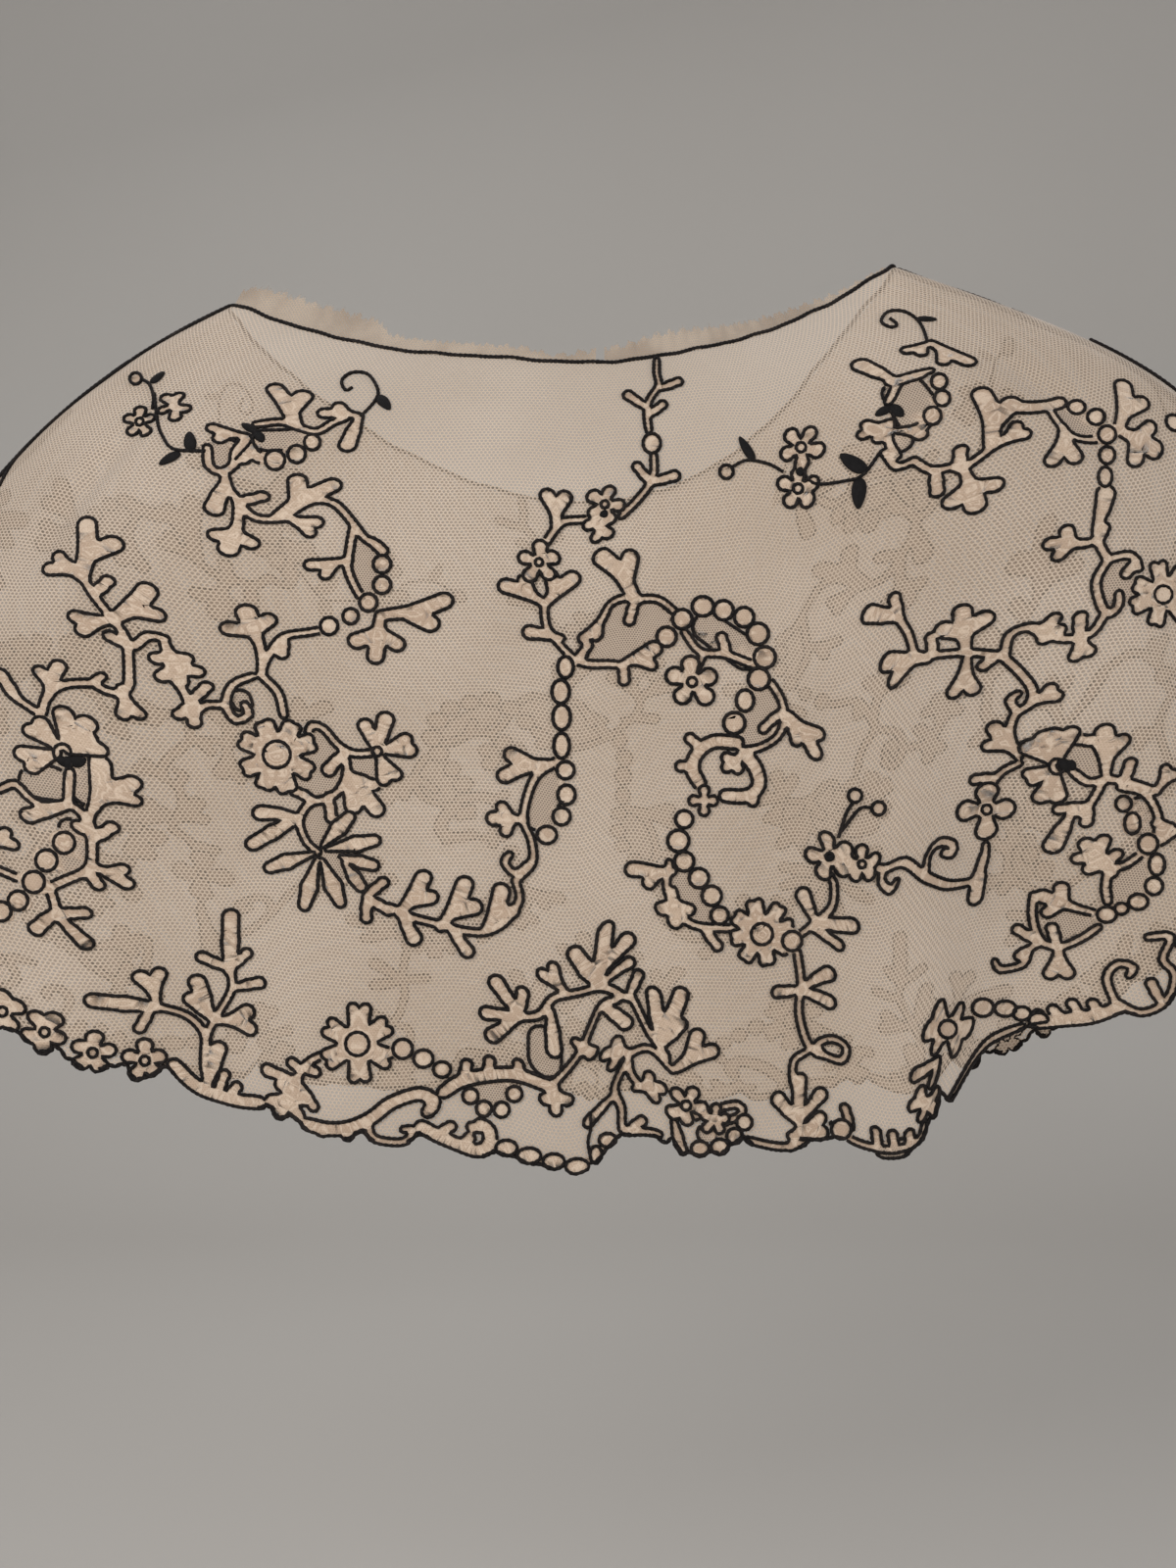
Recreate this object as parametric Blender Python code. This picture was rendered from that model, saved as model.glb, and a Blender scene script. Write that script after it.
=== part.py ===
# Cape collar of embroidered net, as worn: two halves of net joined at the centre
# back and centre front, a corded neck and hem, and a raw strip behind the neck.
# The wearer faces -Y, so the back of the collar is at +Y and the wearer's left is +X.

import math
from collections import namedtuple

import bmesh
import bpy
import numpy as np

# Driving sizes in metres
MM = 0.001
WALL = 1.2 * MM
SEAM_GAP = 0.3 * MM
CORD_RADIUS = 1.0 * MM
STRIP_WALL = 1.0 * MM

# Fineness of the panels, cords and strips
CELLS_ROUND_HALF = 62
CELLS_DOWN = 18
NECK_CORD_POINTS = 96
HEM_CORD_POINTS = 124
STRIP_CELLS = 28
CORD_ROUNDING = 1

# Ways round the collar in degrees: 0 centre back, 90 left shoulder, 180 centre front
FULL_TURN = 360.0
HALF_TURN = 180.0

# One row for each radial fold line of the cut, in millimetres: where it meets the neck,
# where it breaks over the shoulder, where it meets the hem, and how sharp the break is
Line = namedtuple(
    "Line",
    "turn neck_x neck_y neck_z break_x break_y break_z hem_x hem_y hem_z sharp",
)
LINES = [
    Line(0.0, -2, 60, -48, -1, 115, -114, 0, 112, -396, 1.0),
    Line(22.5, 46, 57, -45, 62, 113, -111, 102, 108, -385, 1.0),
    Line(45.0, 92, 45, -39, 140, 100, -100, 206, 88, -363, 1.1),
    Line(67.5, 137, 24, -25, 262, 60, -90, 322, 54, -331, 1.2),
    Line(90.0, 174, 0, -10, 342, 0, -87, 372, 0, -310, 1.0),
    Line(112.5, 154, -42, -32, 270, -66, -98, 334, -60, -338, 1.2),
    Line(135.0, 108, -71, -62, 156, -114, -122, 222, -106, -379, 1.1),
    Line(157.5, 56, -84, -84, 80, -134, -150, 110, -131, -396, 1.0),
    Line(180.0, 4, -88, -92, 2, -142, -160, 2, -139, -402, 1.0),
    Line(202.5, -46, -82, -82, -74, -132, -146, -106, -131, -398, 1.0),
    Line(225.0, -88, -66, -55, -140, -108, -108, -204, -104, -380, 1.2),
    Line(247.5, -122, -36, -16, -254, -62, -64, -292, -60, -336, 2.0),
    Line(270.0, -143, 0, 9, -319, -2, -50, -318, -4, -305, 3.0),
    Line(292.5, -112, 22, -12, -250, 58, -62, -286, 54, -333, 2.0),
    Line(315.0, -76, 42, -31, -140, 98, -88, -184, 76, -346, 1.2),
    Line(337.5, -40, 55, -42, -68, 112, -106, -94, 106, -388, 1.0),
]

# Soft troughs (depth below zero) and ridges of the hanging net: where they lie, how far
# they reach to each side in degrees, and where on the way down they start and are full
Fold = namedtuple("Fold", "turn reach start full depth")
FOLDS = [
    Fold(310, 14, 0.30, 0.95, -11.0),
    Fold(326, 9, 0.55, 1.00, 3.5),
    Fold(340, 7, 0.50, 1.00, -3.0),
    Fold(350, 6, 0.60, 1.00, 3.0),
    Fold(12, 7, 0.65, 1.00, -2.5),
    Fold(38, 13, 0.35, 0.90, -8.0),
    Fold(56, 9, 0.45, 1.00, 4.0),
    Fold(76, 7, 0.55, 1.00, -4.0),
    Fold(104, 8, 0.50, 1.00, 4.5),
    Fold(122, 12, 0.35, 0.95, -11.0),
    Fold(143, 8, 0.55, 1.00, 4.0),
    Fold(160, 7, 0.60, 1.00, -3.5),
    Fold(186, 8, 0.50, 1.00, 4.0),
    Fold(203, 7, 0.60, 1.00, -3.0),
    Fold(222, 12, 0.35, 0.95, -10.0),
    Fold(243, 8, 0.50, 1.00, 4.0),
    Fold(262, 6, 0.60, 1.00, -3.0),
]

# Short creases over the shoulder points: their place, reach, the two ends and depth
Crease = namedtuple("Crease", "turn reach start end depth")
CREASES = [
    Crease(291, 3.6, 0.14, 0.46, -2.6),
    Crease(69, 3.6, 0.16, 0.50, -4.0),
    Crease(252, 4.0, 0.18, 0.42, -2.2),
    Crease(112, 4.0, 0.20, 0.44, -2.2),
]

# Lobes (drop above zero) and notches of the hem: their place, half width in degrees and
# how far they let the hem down; at the centre back the two halves don't quite meet level
Lobe = namedtuple("Lobe", "turn half_width drop")
LOBES = [
    Lobe(3.5, 6, 6.0),
    Lobe(14, 6, -1.5),
    Lobe(24, 7, 1.5),
    Lobe(36, 6, -2.5),
    Lobe(51, 8, 4.0),
    Lobe(68, 8, 3.0),
    Lobe(85, 8, 4.0),
    Lobe(102, 9, 4.5),
    Lobe(120, 9, 4.0),
    Lobe(139, 10, 4.5),
    Lobe(159, 9, 4.0),
    Lobe(178, 9, 4.5),
    Lobe(197, 10, 4.0),
    Lobe(217, 9, 5.5),
    Lobe(236, 9, 4.0),
    Lobe(254, 9, 4.5),
    Lobe(272, 8, 4.0),
    Lobe(289, 8, 4.5),
    Lobe(306, 8, 1.5),
    Lobe(327, 10.5, 21.0),
    Lobe(341, 8, 2.0),
    Lobe(356, 6, -6.0),
]

# Height of the raw strip above the neck cord, in millimetres
StripRow = namedtuple("StripRow", "turn height")
LEFT_STRIP = [
    StripRow(1, 8.5),
    StripRow(7, 5.0),
    StripRow(11, 4.0),
    StripRow(15, 7.0),
    StripRow(44, 8.0),
    StripRow(48, 9.0),
    StripRow(50, 14.5),
    StripRow(62, 15.5),
    StripRow(74, 15.5),
    StripRow(82, 13.0),
    StripRow(86, 10.0),
]
RIGHT_STRIP = [
    StripRow(276, 1.8),
    StripRow(292, 4.5),
    StripRow(318, 9.0),
    StripRow(336, 12.5),
    StripRow(346, 12.5),
    StripRow(355, 9.0),
    StripRow(359, 8.5),
]
STRIP_LEAN = 0.5

PROFILE_SAMPLES = 120
NORMAL_STEP_TURN = 0.6
NORMAL_STEP_DOWN = 0.006

# Colours of the net and the cord, and how matt they are
NET_COLOUR = (0.55, 0.45, 0.36, 1.0)
STRIP_COLOUR = (0.48, 0.36, 0.29, 1.0)
CORD_COLOUR = (0.012, 0.011, 0.012, 1.0)
NET_ROUGHNESS = 0.8
CORD_ROUGHNESS = 0.6


def clear_scene():
    for old in list(bpy.data.objects):
        bpy.data.objects.remove(old, do_unlink=True)


def matt_material(name, colour, roughness):
    material = bpy.data.materials.new(name)
    material.use_nodes = True
    shader = material.node_tree.nodes["Principled BSDF"]
    shader.inputs["Base Color"].default_value = colour
    shader.inputs["Roughness"].default_value = roughness
    shader.inputs["Metallic"].default_value = 0.0
    material.diffuse_color = colour
    return material


def smooth_step(value):
    held = min(max(value, 0.0), 1.0)
    return held * held * (3.0 - 2.0 * held)


def turn_between(turn, centre):
    """Signed way from centre to turn, the short way round."""
    half = FULL_TURN / 2.0
    return (turn - centre + half) % FULL_TURN - half


def round_bump(turn, centre, reach):
    """1 at centre, falling smoothly to 0 at reach to each side."""
    away = abs(turn_between(turn, centre)) / reach
    if away >= 1.0:
        return 0.0
    return 0.5 + 0.5 * math.cos(math.pi * away)


def line_at(turn):
    """All columns of LINES at any turn, by a closed Catmull-Rom curve."""
    step = FULL_TURN / len(LINES)
    place = (turn % FULL_TURN) / step
    first = int(math.floor(place)) % len(LINES)
    t = place - math.floor(place)
    rows = []
    for offset in (-1, 0, 1, 2):
        row = LINES[(first + offset) % len(LINES)]
        rows.append(np.array(row[1:], dtype=float))
    before, start, end, after = rows
    rise = 0.5 * (end - before)
    fall = 0.5 * (after - start)
    t2 = t * t
    t3 = t2 * t
    return (
        (2 * t3 - 3 * t2 + 1) * start
        + (t3 - 2 * t2 + t) * rise
        + (3 * t2 - 2 * t3) * end
        + (t3 - t2) * fall
    )


def hem_drop(turn):
    """How far the lobes let the hem hang at this turn, in millimetres."""
    return sum(lobe.drop * round_bump(turn, lobe.turn, lobe.half_width) for lobe in LOBES)


def fold_depth(turn, down):
    """Height of the folds and creases over the plain surface, in millimetres."""
    depth = 0.0
    for fold in FOLDS:
        grown = smooth_step((down - fold.start) / (fold.full - fold.start))
        depth += fold.depth * grown * round_bump(turn, fold.turn, fold.reach)
    for crease in CREASES:
        middle = 0.5 * (crease.start + crease.end)
        half = 0.5 * (crease.end - crease.start)
        along = smooth_step(1.0 - abs(down - middle) / half)
        depth += crease.depth * along * round_bump(turn, crease.turn, crease.reach)
    return depth


class Profile:
    """One fold line from neck to hem: a weighted arc over the break, even by length."""

    def __init__(self, turn):
        row = line_at(turn)
        neck = row[0:3]
        over = row[3:6]
        hem = row[6:9].copy()
        hem[2] -= hem_drop(turn)
        sharp = row[9]
        t = np.linspace(0.0, 1.0, PROFILE_SAMPLES)[:, None]
        start_weight = (1.0 - t) ** 2
        break_weight = 2.0 * sharp * t * (1.0 - t)
        end_weight = t ** 2
        total = start_weight + break_weight + end_weight
        points = (start_weight * neck + break_weight * over + end_weight * hem) / total
        steps = np.linalg.norm(np.diff(points, axis=0), axis=1)
        self.points = points
        self.reach = np.concatenate([[0.0], np.cumsum(steps)])

    def at(self, down):
        """The point at this share of the way down, also a little past either end."""
        length = self.reach[-1]
        wanted = min(max(down, 0.0), 1.0) * length
        point = np.array([np.interp(wanted, self.reach, self.points[:, k]) for k in range(3)])
        if down < 0.0:
            away = self.points[0] - self.points[1]
            point = point - down * length * away / np.linalg.norm(away)
        if down > 1.0:
            away = self.points[-1] - self.points[-2]
            point = point + (down - 1.0) * length * away / np.linalg.norm(away)
        return point


def plain_normal(turn, down):
    """Outward direction of the surface before its folds."""
    back = Profile(turn - NORMAL_STEP_TURN).at(down)
    ahead = Profile(turn + NORMAL_STEP_TURN).at(down)
    here = Profile(turn)
    above = here.at(max(down - NORMAL_STEP_DOWN, 0.0))
    below = here.at(min(down + NORMAL_STEP_DOWN, 1.0))
    normal = np.cross(ahead - back, below - above)
    return normal / np.linalg.norm(normal)


def cloth_point(turn, down):
    """A point of the net's outer face, in metres."""
    lift = fold_depth(turn, down)
    point = Profile(turn).at(down)
    if abs(lift) > 0.0:
        point = point + lift * plain_normal(turn, down)
    return point * MM


def edge_frame(turn, down):
    """Point, way onward past the edge and outward normal, at the neck or the hem."""
    inside = 0.02 if down < 0.5 else 0.98
    point = cloth_point(turn, down)
    onward = point - cloth_point(turn, inside)
    onward = onward / np.linalg.norm(onward)
    around = cloth_point(turn + NORMAL_STEP_TURN, down) - cloth_point(turn - NORMAL_STEP_TURN, down)
    normal = np.cross(around, onward)
    if down < 0.5:
        normal = -normal
    normal = normal / np.linalg.norm(normal)
    onward = np.cross(normal, around)
    onward = onward / np.linalg.norm(onward)
    if down < 0.5:
        onward = -onward
    return point, onward, normal


def thicken(panel, thickness):
    wall = panel.modifiers.new("wall", "SOLIDIFY")
    wall.thickness = thickness
    wall.offset = -1.0
    wall.use_even_offset = False
    wall.use_rim = True


def sheet_object(name, across, down, place, material, thickness):
    """A grid of cells laid on the points that place(i, j) gives, thickened inwards."""
    mesh = bpy.data.meshes.new(name)
    work = bmesh.new()
    bmesh.ops.create_grid(work, x_segments=across, y_segments=down, size=1.0)
    for vert in work.verts:
        i = round((vert.co.x + 1.0) / 2.0 * across)
        j = round((vert.co.y + 1.0) / 2.0 * down)
        vert.co = place(i, j)
    work.to_mesh(mesh)
    work.free()
    mesh.materials.append(material)
    mesh.shade_smooth()
    panel = bpy.data.objects.new(name, mesh)
    bpy.context.collection.objects.link(panel)
    thicken(panel, thickness)
    return panel


def make_half(name, first_turn, material):
    """Half of the net from one centre line to the other, half a gap short of each."""
    step = HALF_TURN / CELLS_ROUND_HALF

    def place(i, j):
        turn = first_turn + i * step
        down = j / CELLS_DOWN
        point = cloth_point(turn, down)
        if i in (0, CELLS_ROUND_HALF):
            inward = 1.0 if i == 0 else -1.0
            beside = cloth_point(turn + inward * step, down) - point
            point = point + beside / np.linalg.norm(beside) * SEAM_GAP / 2.0
        return point

    return sheet_object(name, CELLS_ROUND_HALF, CELLS_DOWN, place, material, WALL)


def make_cord(name, down, count, material):
    """A cord right round an edge of the net, one gap beyond it."""
    curve = bpy.data.curves.new(name, "CURVE")
    curve.dimensions = "3D"
    curve.bevel_depth = CORD_RADIUS
    curve.bevel_resolution = CORD_ROUNDING
    spline = curve.splines.new("POLY")
    spline.points.add(count - 1)
    spline.use_cyclic_u = True
    for index in range(count):
        turn = FULL_TURN * index / count
        point, onward, normal = edge_frame(turn, down)
        centre = point + onward * (SEAM_GAP + CORD_RADIUS) - normal * WALL / 2.0
        spline.points[index].co = (*centre, 1.0)
    curve.materials.append(material)
    cord = bpy.data.objects.new(name, curve)
    bpy.context.collection.objects.link(cord)
    return cord


def make_strip(name, rows, material):
    """The raw net that stands up beyond the neck cord, its height from the rows."""
    turns = [row.turn for row in rows]
    heights = [row.height for row in rows]
    clearance = 2.0 * SEAM_GAP + 2.0 * CORD_RADIUS

    def place(i, j):
        along = i / STRIP_CELLS
        turn = turns[0] + (turns[-1] - turns[0]) * along
        height = np.interp(turn, turns, heights) * MM
        point, onward, normal = edge_frame(turn, 0.0)
        upright = onward * (1.0 - STRIP_LEAN) + np.array([0.0, 0.0, STRIP_LEAN])
        upright = upright / np.linalg.norm(upright)
        return point + onward * clearance + upright * height * (1 - j)

    return sheet_object(name, STRIP_CELLS, 1, place, material, STRIP_WALL)


clear_scene()
net = matt_material("ecru_net", NET_COLOUR, NET_ROUGHNESS)
raw_net = matt_material("raw_net", STRIP_COLOUR, NET_ROUGHNESS)
black_cord = matt_material("black_cord", CORD_COLOUR, CORD_ROUGHNESS)

make_half("net_left", 0.0, net)
make_half("net_right", HALF_TURN, net)
make_cord("neck_cord", 0.0, NECK_CORD_POINTS, black_cord)
make_cord("hem_cord", 1.0, HEM_CORD_POINTS, black_cord)
make_strip("neck_strip_left", LEFT_STRIP, raw_net)
make_strip("neck_strip_right", RIGHT_STRIP, raw_net)
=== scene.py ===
import math
from collections import namedtuple

import bmesh
import bpy
import numpy as np
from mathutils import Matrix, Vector


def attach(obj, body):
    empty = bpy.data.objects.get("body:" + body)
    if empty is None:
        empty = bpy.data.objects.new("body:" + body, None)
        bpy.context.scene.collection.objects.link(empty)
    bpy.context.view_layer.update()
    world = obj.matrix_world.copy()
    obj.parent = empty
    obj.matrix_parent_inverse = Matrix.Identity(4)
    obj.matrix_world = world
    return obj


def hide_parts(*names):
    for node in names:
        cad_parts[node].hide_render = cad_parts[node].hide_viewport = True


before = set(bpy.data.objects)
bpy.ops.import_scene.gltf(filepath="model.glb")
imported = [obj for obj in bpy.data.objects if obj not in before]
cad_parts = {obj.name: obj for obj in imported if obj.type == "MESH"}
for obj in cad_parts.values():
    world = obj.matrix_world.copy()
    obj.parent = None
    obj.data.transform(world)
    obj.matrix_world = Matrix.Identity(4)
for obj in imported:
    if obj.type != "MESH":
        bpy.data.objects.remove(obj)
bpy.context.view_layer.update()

# Camera
# The collar is seen from behind, level with its middle, through a 50 mm lens about a
# metre away. The sprays below are placed by where they show in that view.
PICTURE_WIDTH = 1200
PICTURE_HEIGHT = 1600
FOCAL_PIXELS = 2222.0
EYE = np.array([0.0034, 1.032, -0.236])
LONG_SIDE_MM = 36.0
NEAREST_SEEN = 0.05

lens = bpy.data.cameras.new("back_view")
lens.sensor_width = LONG_SIDE_MM
lens.lens = FOCAL_PIXELS / PICTURE_HEIGHT * LONG_SIDE_MM
lens.clip_start = NEAREST_SEEN
viewer = bpy.data.objects.new("back_view", lens)
viewer.location = EYE
viewer.rotation_euler = (math.radians(90.0), 0.0, math.radians(180.0))
bpy.context.collection.objects.link(viewer)
bpy.context.scene.camera = viewer

# The worn net
# A cape of fine net, cut as part of a ring in two halves. As worn, each fold line runs
# from the neck over the shoulder to the hem; the rows are the garment's own, in mm.
MM = 0.001
WALL = 1.2
Line = namedtuple(
    "Line",
    "turn neck_x neck_y neck_z break_x break_y break_z hem_x hem_y hem_z sharp",
)
LINES = [
    Line(0.0, -2, 60, -48, -1, 115, -114, 0, 112, -396, 1.0),
    Line(22.5, 46, 57, -45, 62, 113, -111, 102, 108, -385, 1.0),
    Line(45.0, 92, 45, -39, 140, 100, -100, 206, 88, -363, 1.1),
    Line(67.5, 137, 24, -25, 262, 60, -90, 322, 54, -331, 1.2),
    Line(90.0, 174, 0, -10, 342, 0, -87, 372, 0, -310, 1.0),
    Line(112.5, 154, -42, -32, 270, -66, -98, 334, -60, -338, 1.2),
    Line(135.0, 108, -71, -62, 156, -114, -122, 222, -106, -379, 1.1),
    Line(157.5, 56, -84, -84, 80, -134, -150, 110, -131, -396, 1.0),
    Line(180.0, 4, -88, -92, 2, -142, -160, 2, -139, -402, 1.0),
    Line(202.5, -46, -82, -82, -74, -132, -146, -106, -131, -398, 1.0),
    Line(225.0, -88, -66, -55, -140, -108, -108, -204, -104, -380, 1.2),
    Line(247.5, -122, -36, -16, -254, -62, -64, -292, -60, -336, 2.0),
    Line(270.0, -143, 0, 9, -319, -2, -50, -318, -4, -305, 3.0),
    Line(292.5, -112, 22, -12, -250, 58, -62, -286, 54, -333, 2.0),
    Line(315.0, -76, 42, -31, -140, 98, -88, -184, 76, -346, 1.2),
    Line(337.5, -40, 55, -42, -68, 112, -106, -94, 106, -388, 1.0),
]
Fold = namedtuple("Fold", "turn reach start full depth")
FOLDS = [
    Fold(310, 14, 0.30, 0.95, -11.0),
    Fold(326, 9, 0.55, 1.00, 3.5),
    Fold(340, 7, 0.50, 1.00, -3.0),
    Fold(350, 6, 0.60, 1.00, 3.0),
    Fold(12, 7, 0.65, 1.00, -2.5),
    Fold(38, 13, 0.35, 0.90, -8.0),
    Fold(56, 9, 0.45, 1.00, 4.0),
    Fold(76, 7, 0.55, 1.00, -4.0),
    Fold(104, 8, 0.50, 1.00, 4.5),
    Fold(122, 12, 0.35, 0.95, -11.0),
    Fold(143, 8, 0.55, 1.00, 4.0),
    Fold(160, 7, 0.60, 1.00, -3.5),
    Fold(186, 8, 0.50, 1.00, 4.0),
    Fold(203, 7, 0.60, 1.00, -3.0),
    Fold(222, 12, 0.35, 0.95, -10.0),
    Fold(243, 8, 0.50, 1.00, 4.0),
    Fold(262, 6, 0.60, 1.00, -3.0),
]
Crease = namedtuple("Crease", "turn reach start end depth")
CREASES = [
    Crease(291, 3.6, 0.14, 0.46, -2.6),
    Crease(69, 3.6, 0.16, 0.50, -4.0),
    Crease(252, 4.0, 0.18, 0.42, -2.2),
    Crease(112, 4.0, 0.20, 0.44, -2.2),
]
Lobe = namedtuple("Lobe", "turn half_width drop")
LOBES = [
    Lobe(3.5, 6, 6.0),
    Lobe(14, 6, -1.5),
    Lobe(24, 7, 1.5),
    Lobe(36, 6, -2.5),
    Lobe(51, 8, 4.0),
    Lobe(68, 8, 3.0),
    Lobe(85, 8, 4.0),
    Lobe(102, 9, 4.5),
    Lobe(120, 9, 4.0),
    Lobe(139, 10, 4.5),
    Lobe(159, 9, 4.0),
    Lobe(178, 9, 4.5),
    Lobe(197, 10, 4.0),
    Lobe(217, 9, 5.5),
    Lobe(236, 9, 4.0),
    Lobe(254, 9, 4.5),
    Lobe(272, 8, 4.0),
    Lobe(289, 8, 4.5),
    Lobe(306, 8, 1.5),
    Lobe(327, 10.5, 21.0),
    Lobe(341, 8, 2.0),
    Lobe(356, 6, -6.0),
]
TURN_STEPS = 720
DOWN_STEPS = 180
PROFILE_SAMPLES = 160
FULL_TURN = 360.0
HALF_TURN = FULL_TURN / 2
CENTRE_FRONT = HALF_TURN


def smooth_step(value):
    held = np.clip(value, 0.0, 1.0)
    return held * held * (3.0 - 2.0 * held)


def about_zero(turn, whole=FULL_TURN):
    return (turn + whole / 2) % whole - whole / 2


def round_bump(turn, centre, reach):
    away = np.abs(about_zero(turn - centre)) / reach
    return np.where(away < 1.0, 0.5 + 0.5 * np.cos(np.pi * np.minimum(away, 1.0)), 0.0)


def curve_between(before, start, end, after, t):
    """Places from start to end on a Catmull-Rom curve, t going from 0 to 1."""
    rise, fall = 0.5 * (end - before), 0.5 * (after - start)
    return (
        (2 * t**3 - 3 * t**2 + 1) * start
        + (t**3 - 2 * t**2 + t) * rise
        + (3 * t**2 - 2 * t**3) * end
        + (t**3 - t**2) * fall
    )


def lines_at(turn):
    """The rows' columns at any turn, by a closed Catmull-Rom curve."""
    table = np.array([row[1:] for row in LINES], dtype=float)
    place = (turn % FULL_TURN) / (FULL_TURN / len(LINES))
    first = np.floor(place).astype(int) % len(LINES)
    t = (place - np.floor(place))[:, None]
    before, start, end, after = [table[(first + k) % len(LINES)] for k in (-1, 0, 1, 2)]
    return curve_between(before, start, end, after, t)


def across(grid_points):
    """Outward unit directions of a grid of points that closes round its first axis."""
    around = np.roll(grid_points, -1, axis=0) - np.roll(grid_points, 1, axis=0)
    down = np.gradient(grid_points, axis=1)
    normal = np.cross(around, down)
    return normal / np.linalg.norm(normal, axis=2, keepdims=True)


turns = np.arange(TURN_STEPS) * FULL_TURN / TURN_STEPS
downs = np.linspace(0.0, 1.0, DOWN_STEPS + 1)
rows = lines_at(turns)
hems = rows[:, 6:9].copy()
for lobe in LOBES:
    hems[:, 2] -= lobe.drop * round_bump(turns, lobe.turn, lobe.half_width)
t = np.linspace(0.0, 1.0, PROFILE_SAMPLES)[None, :, None]
end_weights = ((1.0 - t) ** 2, 2.0 * rows[:, 9][:, None, None] * t * (1.0 - t), t**2)
profiles = end_weights[0] * rows[:, None, 0:3]
profiles = profiles + end_weights[1] * rows[:, None, 3:6] + end_weights[2] * hems[:, None, :]
profiles = profiles / sum(end_weights)
steps = np.linalg.norm(np.diff(profiles, axis=1), axis=2)
reach = np.concatenate([np.zeros((TURN_STEPS, 1)), np.cumsum(steps, axis=1)], axis=1)
worn = np.empty((TURN_STEPS, DOWN_STEPS + 1, 3))
for i in range(TURN_STEPS):
    for k in range(3):
        worn[i, :, k] = np.interp(downs * reach[i, -1], reach[i], profiles[i, :, k])
depth = np.zeros((TURN_STEPS, DOWN_STEPS + 1))
for fold in FOLDS:
    grown = smooth_step((downs - fold.start) / (fold.full - fold.start))
    depth += fold.depth * grown[None, :] * round_bump(turns, fold.turn, fold.reach)[:, None]
for crease in CREASES:
    middle = 0.5 * (crease.start + crease.end)
    half = 0.5 * (crease.end - crease.start)
    along = smooth_step(1.0 - np.abs(downs - middle) / half)
    depth += crease.depth * along[None, :] * round_bump(turns, crease.turn, crease.reach)[:, None]
worn = worn + depth[:, :, None] * across(worn)
outward = across(worn)
worn = worn - outward * WALL / 2.0


def grid_read(values, turn, down):
    """Values between the grid's points; past the neck or hem the last row goes on."""
    i = (np.asarray(turn) % FULL_TURN) / FULL_TURN * TURN_STEPS
    j = np.asarray(down) * DOWN_STEPS
    i0 = np.floor(i).astype(int)
    j0 = np.clip(np.floor(j).astype(int), 0, DOWN_STEPS - 1)
    u = (i - i0)[..., None]
    v = (j - j0)[..., None]
    a, b = i0 % TURN_STEPS, (i0 + 1) % TURN_STEPS
    near = values[a, j0] * (1 - v) + values[a, j0 + 1] * v
    far = values[b, j0] * (1 - v) + values[b, j0 + 1] * v
    return near * (1 - u) + far * u


def on_net(turn, down, lift=0.0):
    """Places on the net in metres; lift is how far outside it, in millimetres."""
    place = grid_read(worn, turn, down)
    out = grid_read(outward, turn, np.clip(down, 0.0, 1.0))
    return (place + out * np.asarray(lift)[..., None]) * MM


# The cut lies flat as part of a ring, with the neck as its inner edge, in millimetres.
NECK_RADIUS = 352.0
CUT_DEPTH = 375.0
CUT_ANGLE = 127.0


def flat_place(turn, down):
    """The place on the cut; turn runs from -180 to 180 degrees, 0 at the centre back."""
    angle = np.radians(turn / FULL_TURN * CUT_ANGLE)
    radius = NECK_RADIUS + CUT_DEPTH * down
    return radius * np.sin(angle), -radius * np.cos(angle)


def worn_place(x, y):
    radius = np.hypot(x, y)
    angle = np.degrees(np.arctan2(x, -y))
    return angle / CUT_ANGLE * FULL_TURN, (radius - NECK_RADIUS) / CUT_DEPTH


# How the back lies in the view, to find what a pixel falls on.
BACK_REACH = 89.0
BACK_STEPS = 357
BACK_ROWS = 181
LONGEST_STEP = 1.5
back_turns = np.linspace(-BACK_REACH, BACK_REACH, BACK_STEPS)
back_downs = np.linspace(0.0, 1.0, BACK_ROWS)
turn_grid, down_grid = np.meshgrid(back_turns, back_downs, indexing="ij")
back_points = on_net(turn_grid, down_grid)
away = EYE[1] - back_points[..., 1]
seen_x = PICTURE_WIDTH / 2 - FOCAL_PIXELS * (back_points[..., 0] - EYE[0]) / away
seen_y = PICTURE_HEIGHT / 2 - FOCAL_PIXELS * (back_points[..., 2] - EYE[2]) / away


def picture_to_flat(x, y):
    """The place on the flat cut that shows at a pixel of the 1200 by 1600 picture."""
    gap = (seen_x - x) ** 2 + (seen_y - y) ** 2
    i, j = np.unravel_index(np.argmin(gap), gap.shape)
    i = min(max(i, 1), BACK_STEPS - 2)
    j = min(max(j, 1), BACK_ROWS - 2)
    slope = 0.5 * np.array([
        [seen_x[i + 1, j] - seen_x[i - 1, j], seen_x[i, j + 1] - seen_x[i, j - 1]],
        [seen_y[i + 1, j] - seen_y[i - 1, j], seen_y[i, j + 1] - seen_y[i, j - 1]],
    ])
    step = np.linalg.solve(slope, [x - seen_x[i, j], y - seen_y[i, j]])
    step = np.clip(step, -LONGEST_STEP, LONGEST_STEP)
    turn = back_turns[i] + step[0] * (back_turns[1] - back_turns[0])
    down = back_downs[j] + step[1] * (back_downs[1] - back_downs[0])
    return np.array(flat_place(turn, min(down, 1.0)))


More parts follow.
